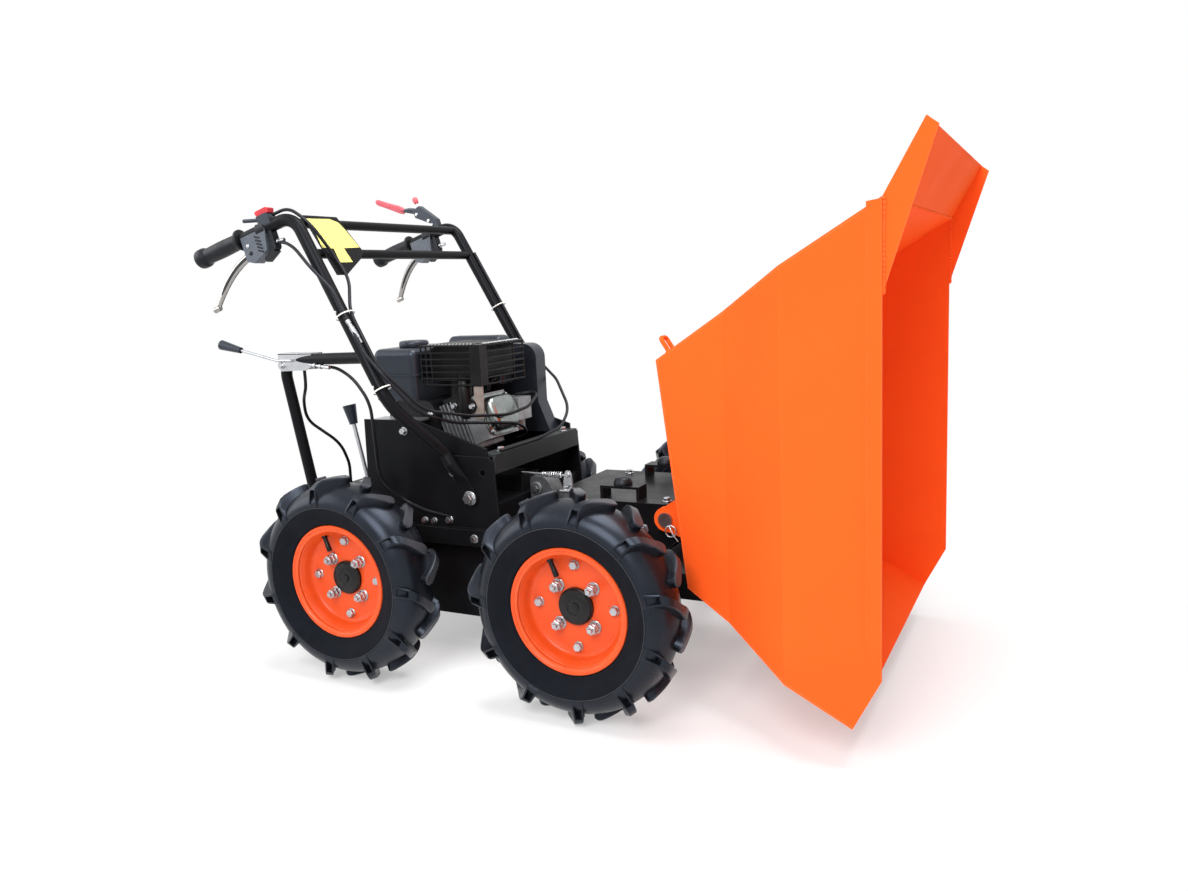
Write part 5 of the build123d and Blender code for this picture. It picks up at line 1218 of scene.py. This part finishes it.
            # A dark strip that stands out of both faces of the blade: painted shade of its hollow.
            hollow.ribbon(path[2:17], [7.5, 9.5] + [11.5] * 11 + [9.5, 7.5], 6.5, across)
            shell.spin([(0, -9), (5.6, -9), (6.6, -7.6), (6.2, 0), (6.6, 7.6), (5.6, 9), (0, 9)],
                       seat(tip, (0.94, 0, 0.34)), 24)
        levers = shell.finish("chromed_levers", CHROME_STEEL, "chassis")
        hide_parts("clutch_levers")
        hollow.finish("lever_hollow_painted_shade", ENGINE_DARK, "chassis")

    def build_throttle(self) -> None:
        """Red throttle paddle and oval choke knob on the left run, with the grey arm and the screws."""
        shell = Shell()
        foot = self.beside(138, 87, 0, -1)
        tip = self.beside(221, 143.5, 0, -1)
        shares = (0.0, 0.04, 0.2, 0.34, 0.6, 0.9, 0.98, 1.0)
        shell.ribbon([foot.lerp(tip, s) for s in shares], [12, 18, 21, 19, 17, 16.5, 14, 10], 7,
                     (-0.3, 0.3, 0.9))
        stem = self.beside(90, 74, 0, -1)
        top = self.beside(93, 98, 0, -1)
        way = top - stem
        shell.spin([(3, 16), (5.6, 18), (7, 22), (7.4, 27), (6, 32), (3, 34), (0, 34.4)], seat(stem, way), 24)
        lever = shell.finish("throttle_paddle", VINYL_RED, "chassis")
        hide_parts("throttle_lever")
        arm = Shell()
        course = ((146, 93), (134, 88), (120, 85), (106, 79), (92, 68), (80, 54))
        arm.ribbon([self.beside(along, up, 0, -1) for along, up in course], [7, 9, 9, 9.5, 10, 10], 6,
                   (-0.3, 0.5, 0.8))
        arm.finish("throttle_arm", NYLON_GREY, "chassis")
        bright = Shell()
        bright.spin([(2, 0), (2, 17)], seat(stem, way), 12)
        outward = self.outward(-1)
        for along, up in ((96, 62), (58, 20), (64, 34)):
            for face in SIDES:
                bright.spin([(4.6, 0), (4.6, 1.8), (3.4, 3), (0, 3.2)],
                            seat(self.beside(along, up, 8 * face, -1), outward * face), 16)
        bright.finish("throttle_screws", ZINC_STEEL, "chassis")

    def build_bracket(self) -> None:
        """Folded zinc channel over the arm of the control post, with its pivot and cable adjuster."""
        shell = Shell()
        shell.prism(rectangle(47, 17), seat((-433.5, 262, 657), UP), 3)
        for side in SIDES:
            face = [(-480.5, 659.6), (-386.5, 659.6), (-386.5, 634), (-404, 624), (-474, 622), (-480.5, 628)]
            shell.slab(face, [262 + side * y for y in (14.5, 17)])
            shell.hexagon(seat((-472, 262 + side * 17, 634), (0, side, 0)), 10, 5, 7)
        start = Vector((-392, 280, 636))
        run = Vector((-334, 284, 630)) - start
        shell.spin([(2.4, 0), (2.4, 14), (6, 14.6), (6, 20), (3.4, 20.6), (3.4, 30), (5.4, 30.6), (5.4, 36),
                    (3.8, 36.6), (3.8, run.length)], seat(start, run), 14)
        bracket = shell.finish("folded_bracket", ZINC_STEEL, "chassis")
        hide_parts("lever_bracket")


@dataclass
class Engine:
    """Rocker cover, bolts, exhaust, plug, starter and fuel cap of the engine.

    The cylinder leans by its tilt, and its middle line begins at the start of the bore.
    """

    tilt: float = 20.0
    bore_start: Triple = (-230.0, 30.0, 455.0)

    def axes(self) -> tuple[Vector, Vector]:
        """Ways along the leaning bore and square to it, up the fins."""
        tilt = math.radians(self.tilt)
        return Vector((math.cos(tilt), 0, math.sin(tilt))), Vector((-math.sin(tilt), 0, math.cos(tilt)))

    def stand(self, across: float, up: float, along: float) -> Vector:
        """Point of the leaning cylinder, by its way across, up the fins and along the bore."""
        way, lift = self.axes()
        return Vector(self.bore_start) + Vector((0, across, 0)) + lift * up + way * along

    def build(self) -> None:
        """Make every small piece of the engine."""
        self.build_rocker()
        self.build_bolts()
        self.build_exhaust()
        self.build_plug()
        self.build_starter()
        self.build_cap()

    def head(self, along: float) -> Matrix:
        """Stand a frame on the cylinder's middle line.

        Args:
            along: its distance along the bore.

        Returns:
            The frame, with its X across the machine and its Z along the bore.
        """
        way, lift = self.axes()
        turn = Matrix((Vector(RIGHT), lift, way)).transposed().to_4x4()
        return Matrix.Translation(self.stand(0, 0, along)) @ turn

    def build_rocker(self) -> None:
        """Deep pressed rocker cover with a flange."""
        shell = Shell()
        shell.pillow([(57, 46, 141), (57.6, 46.6, 142), (57.6, 46.6, 145), (57, 46, 146), (51, 40, 146.4),
                      (49.4, 38.4, 148), (48.6, 37.6, 160), (47, 36, 165), (43, 32, 168.6), (36, 26, 170),
                      (0.5, 0.4, 170.4)], self.head(0), 4.5)
        cover = shell.finish("pressed_rocker_cover", CHROMATED_ZINC, "chassis")
        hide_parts("rocker_cover")

    def build_bolts(self) -> None:
        """Bolts of the rocker cover, exhaust flange and crankcase."""
        shell = Shell()
        for across, up in ((-47, -37), (47, -37), (-47, 37), (47, 37)):
            shell.hexagon(self.head(146) @ Matrix.Translation((across, up, 0)), 9, 6)
        for x in (-163.5, -117):
            shell.hexagon(seat((x, 93, 527.5), RIGHT), 10, 7, 6.5)
        for x, z in ((-318, 360), (-218, 360), (-318, 510), (-218, 510), (-268, 350), (-318, 435)):
            shell.hexagon(seat((x, 110, z), RIGHT), 10, 5, 7)
        shell.spin([(13, 0), (13, 4), (11, 6), (0, 6)], seat((-235, 110, 385), RIGHT), 24)
        shell.finish("engine_bolts", ZINC_STEEL, "chassis")

    def build_exhaust(self) -> None:
        """Exhaust flange, the pipe that rises to the silencer, and the louvres of the guard on top, drawn in
        pale zinc as painted highlight.
        """
        shell = Shell()
        outline = [(-174, 527), (-170, 517), (-158, 512), (-122, 511), (-110, 516), (-106, 527), (-110, 538),
                   (-122, 543), (-158, 543), (-170, 538)]
        shell.slab(outline, (87, 93))
        shell.tube([(-138, 84, 506), (-138, 86, 509), (-138, 88, 520), (-138, 88, 560), (-140, 84, 578),
                    (-144, 76, 588)], [12, 15.5, 16, 16, 16, 16], 24)
        shell.finish("exhaust_elbow", EXHAUST_BLACK, "chassis")
        # Pale zinc louvres: their light colour is painted highlight on the guard's top.
        louvres = Shell()
        for index in range(13):
            x = -226 + index * 9.2
            louvres.tube([(x, 84, 660.4), (x + 4, 92, 661.4), (x + 7, 100, 660.2)], [1.4, 1.9, 1.2], 8)
        for index in range(12):
            y = -64 + index * 12
            louvres.tube([(-100, y, 660.4), (-92, y + 3, 661.4), (-85, y + 5, 660.2)], [1.4, 1.9, 1.2], 8)
        louvres.finish("guard_louvres_painted_highlight", ZINC_STEEL, "chassis")

    def build_plug(self) -> None:
        """Black boot and lead of the spark plug on the head."""
        shell = Shell()
        foot = self.stand(-10, 48, 120)
        shell.spin([(8, 0), (8.5, 3), (8.5, 16), (7, 22), (6, 30), (0, 31)],
                   seat(foot, self.stand(0, 0.7, 0.7) - self.stand(0, 0, 0)), 16)
        top = foot + Vector((10, 0, 28))
        shell.tube([top, top + Vector((6, -8, 6)), top + Vector((0, -40, 8)), top + Vector((-40, -90, -10)),
                    top + Vector((-60, -130, -40))], 3.4, 10)
        shell.finish("plug_boot", RUBBER_BLACK, "chassis")

    def build_starter(self) -> None:
        """Recoil starter on the fan housing: a dished cover with ribs, feet and a pull handle."""
        shell = Shell()
        stand = seat((-205, -176, 540), (0, -1, 0))
        shell.spin([(84, -1), (84, 8), (80, 12), (74, 14), (70, 11), (40, 13), (36, 17), (24, 20), (0, 21)],
                   stand, 48)
        for turn in round_turns(16):
            shell.tube([on_ring(stand, 42, turn, 12.4), on_ring(stand, 68, turn, 12.4)], 2.6, 8)
        for turn in round_turns(3):
            foot = on_ring(stand, 88, turn + 0.5, 0)
            shell.spin([(9, -1), (9, 6), (7, 8), (0, 8)], seat(foot, (0, -1, 0)), 16)
        grip = stand @ Vector((-58, 62, 10))
        shell.tube([grip + Vector((0, -4, -18)), grip + Vector((0, -6, 0)), grip + Vector((0, -4, 18))],
                   [5, 7, 5], 12)
        shell.finish("recoil_starter", PLASTIC_BLACK, "chassis")

    def build_cap(self) -> None:
        """Wide flat fuel cap with a rounded edge and a shallow rim."""
        shell = Shell()
        shell.spin([(30, 0), (32, 0.6), (33, 2), (33, 9.6), (32, 12.6), (29.4, 14.6), (26, 15),
                    (24.6, 14.2), (0, 14.2)], seat((-290, 56, 654), UP), 40)
        cap = shell.finish("moulded_fuel_cap", PLASTIC_BLACK, "chassis")
        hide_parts("fuel_cap")


@dataclass
class Studio:
    """Camera, floor, lamps and background.

    The camera's place is in the drawing frame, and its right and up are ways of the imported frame. The floor
    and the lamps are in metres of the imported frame: each lamp has its name, place, size and power.
    """

    place: Triple = (1045.2, 1773.2, 772.7)
    right: Triple = (0.8902, 0.4533, -0.0465)
    up: Triple = (-0.035, 0.1698, 0.9849)
    lens: float = 28.667
    ambient: float = 0.4
    floor_half: float = 14.0
    fade_start: float = 0.55
    fade_full: float = 1.35
    fade_least: float = 0.4
    target: Triple = (0.0, 0.0, 0.4)
    lamps: tuple[tuple[str, Triple, float, float], ...] = (
        ("key_lamp", (0.5, -3.1, 2.7), 2.2, 116.0),
        ("fill_lamp", (-2.7, -1.5, 1.8), 2.4, 35.0),
        ("top_lamp", (0.6, 0.1, 3.5), 2.4, 112.0),
    )

    def build(self) -> None:
        """Set up the whole studio."""
        self.build_camera()
        self.build_world()
        self.build_floor()
        self.build_lamps()
        bpy.context.scene.view_settings.view_transform = "Standard"

    def build_camera(self) -> None:
        """Camera with the photo's view."""
        data = bpy.data.cameras.new("photo_camera")
        data.sensor_fit = "HORIZONTAL"
        data.sensor_width = 36.0
        data.lens = self.lens
        camera = bpy.data.objects.new("photo_camera", data)
        right = Vector(self.right)
        up = Vector(self.up)
        turn = Matrix((right, up, right.cross(up))).transposed().to_4x4()
        camera.matrix_world = Matrix.Translation(packed(self.place)) @ turn
        link(camera)
        bpy.context.scene.camera = camera

    @staticmethod
    def seen_ray(tree: Tree) -> Socket:
        """Tell the rays that see the background from those that only carry light.

        Args:
            tree: the node tree of the world or the floor.

        Returns:
            The socket that is 1 for rays from the camera, gloss or glass.
        """
        path = add_node(tree, "ShaderNodeLightPath", {}, {})
        first = add_node(tree, "ShaderNodeMath", {"operation": "MAXIMUM"}, {
            0: path.outputs["Is Camera Ray"], 1: path.outputs["Is Glossy Ray"]})
        return add_node(tree, "ShaderNodeMath", {"operation": "MAXIMUM"}, {
            0: first.outputs["Value"], 1: path.outputs["Is Transmission Ray"]}).outputs["Value"]

    def build_world(self) -> None:
        """White to the eye and in reflections, softer as light."""
        world = bpy.data.worlds.new("studio_white")
        world.use_nodes = True
        bpy.context.scene.world = world
        tree = world.node_tree
        tree.nodes.clear()
        soft = add_node(tree, "ShaderNodeBackground", {}, {"Color": (1, 1, 1, 1), "Strength": self.ambient})
        white = add_node(tree, "ShaderNodeBackground", {}, {"Color": (1, 1, 1, 1), "Strength": 1.0})
        mixed = add_node(tree, "ShaderNodeMixShader", {}, {
            0: self.seen_ray(tree), 1: soft.outputs["Background"], 2: white.outputs["Background"]})
        add_node(tree, "ShaderNodeOutputWorld", {}, {"Surface": mixed.outputs["Shader"]})

    def build_floor(self) -> None:
        """Pale floor that keeps the shadow near the object and fades to white."""
        data = bpy.data.meshes.new("studio_floor")
        corners = [(x, y, 0) for x, y in rectangle(self.floor_half, self.floor_half)]
        data.from_pydata(corners, [], [(0, 1, 2, 3)])
        floor = bpy.data.objects.new("studio_floor", data)
        look = bpy.data.materials.new("painted_floor_white")
        look.use_nodes = True
        tree = look.node_tree
        paint = tree.nodes["Principled BSDF"]
        paint.inputs["Base Color"].default_value = linear("#f4f4f4")
        paint.inputs["Roughness"].default_value = 0.9
        place = add_node(tree, "ShaderNodeNewGeometry", {}, {}).outputs["Position"]
        away = add_node(tree, "ShaderNodeVectorMath", {"operation": "LENGTH"}, {0: place})
        fade = add_node(tree, "ShaderNodeMapRange", {"interpolation_type": "SMOOTHSTEP"}, {
            "Value": away.outputs["Value"], "From Min": self.fade_start, "From Max": self.fade_full,
            "To Min": self.fade_least})
        seen = add_node(tree, "ShaderNodeMath", {"operation": "MULTIPLY"}, {
            0: fade.outputs["Result"], 1: self.seen_ray(tree)})
        glow = add_node(tree, "ShaderNodeEmission", {}, {"Color": (1, 1, 1, 1), "Strength": 1.0})
        mixed = add_node(tree, "ShaderNodeMixShader", {}, {
            0: seen.outputs["Value"], 1: paint.outputs["BSDF"], 2: glow.outputs["Emission"]})
        tree.links.new(mixed.outputs["Shader"], tree.nodes["Material Output"].inputs["Surface"])
        data.materials.append(look)
        link(floor)

    def build_lamps(self) -> None:
        """Large soft lamps: key from the camera's side, fill from behind the handles and a top light."""
        for name, place, size, power in self.lamps:
            data = bpy.data.lights.new(name, "AREA")
            data.shape = "DISK"
            data.size = size
            data.energy = power
            lamp = bpy.data.objects.new(name, data)
            lamp.location = place
            lamp.rotation_euler = (Vector(self.target) - Vector(place)).to_track_quat("-Z", "Y").to_euler()
            link(lamp)


def dress_solids() -> None:
    """Give every carried-over solid its own finish or that of its record slot."""
    slots = {entry["node"]: entry["material_slot"] for entry in frame["record"]["subparts"]}
    for name, solid in frame["nodes"].items():
        look = NODE_FINISH.get(name, SLOT_FINISH[slots[name]]).material()
        for place in solid.material_slots:
            place.material = look
        LOG.info("dressed %s as %s", name, look.name)


def main() -> None:
    """Build the studio and every piece in order."""
    Studio().build()
    dress_solids()
    for place in WHEELS:
        Wheel(place).build()
    FrameFittings().build()
    SkipDetails().build()
    Handlebar().build()
    Engine().build()


if __name__ == "__main__":
    logging.basicConfig(level=logging.INFO)
    main()
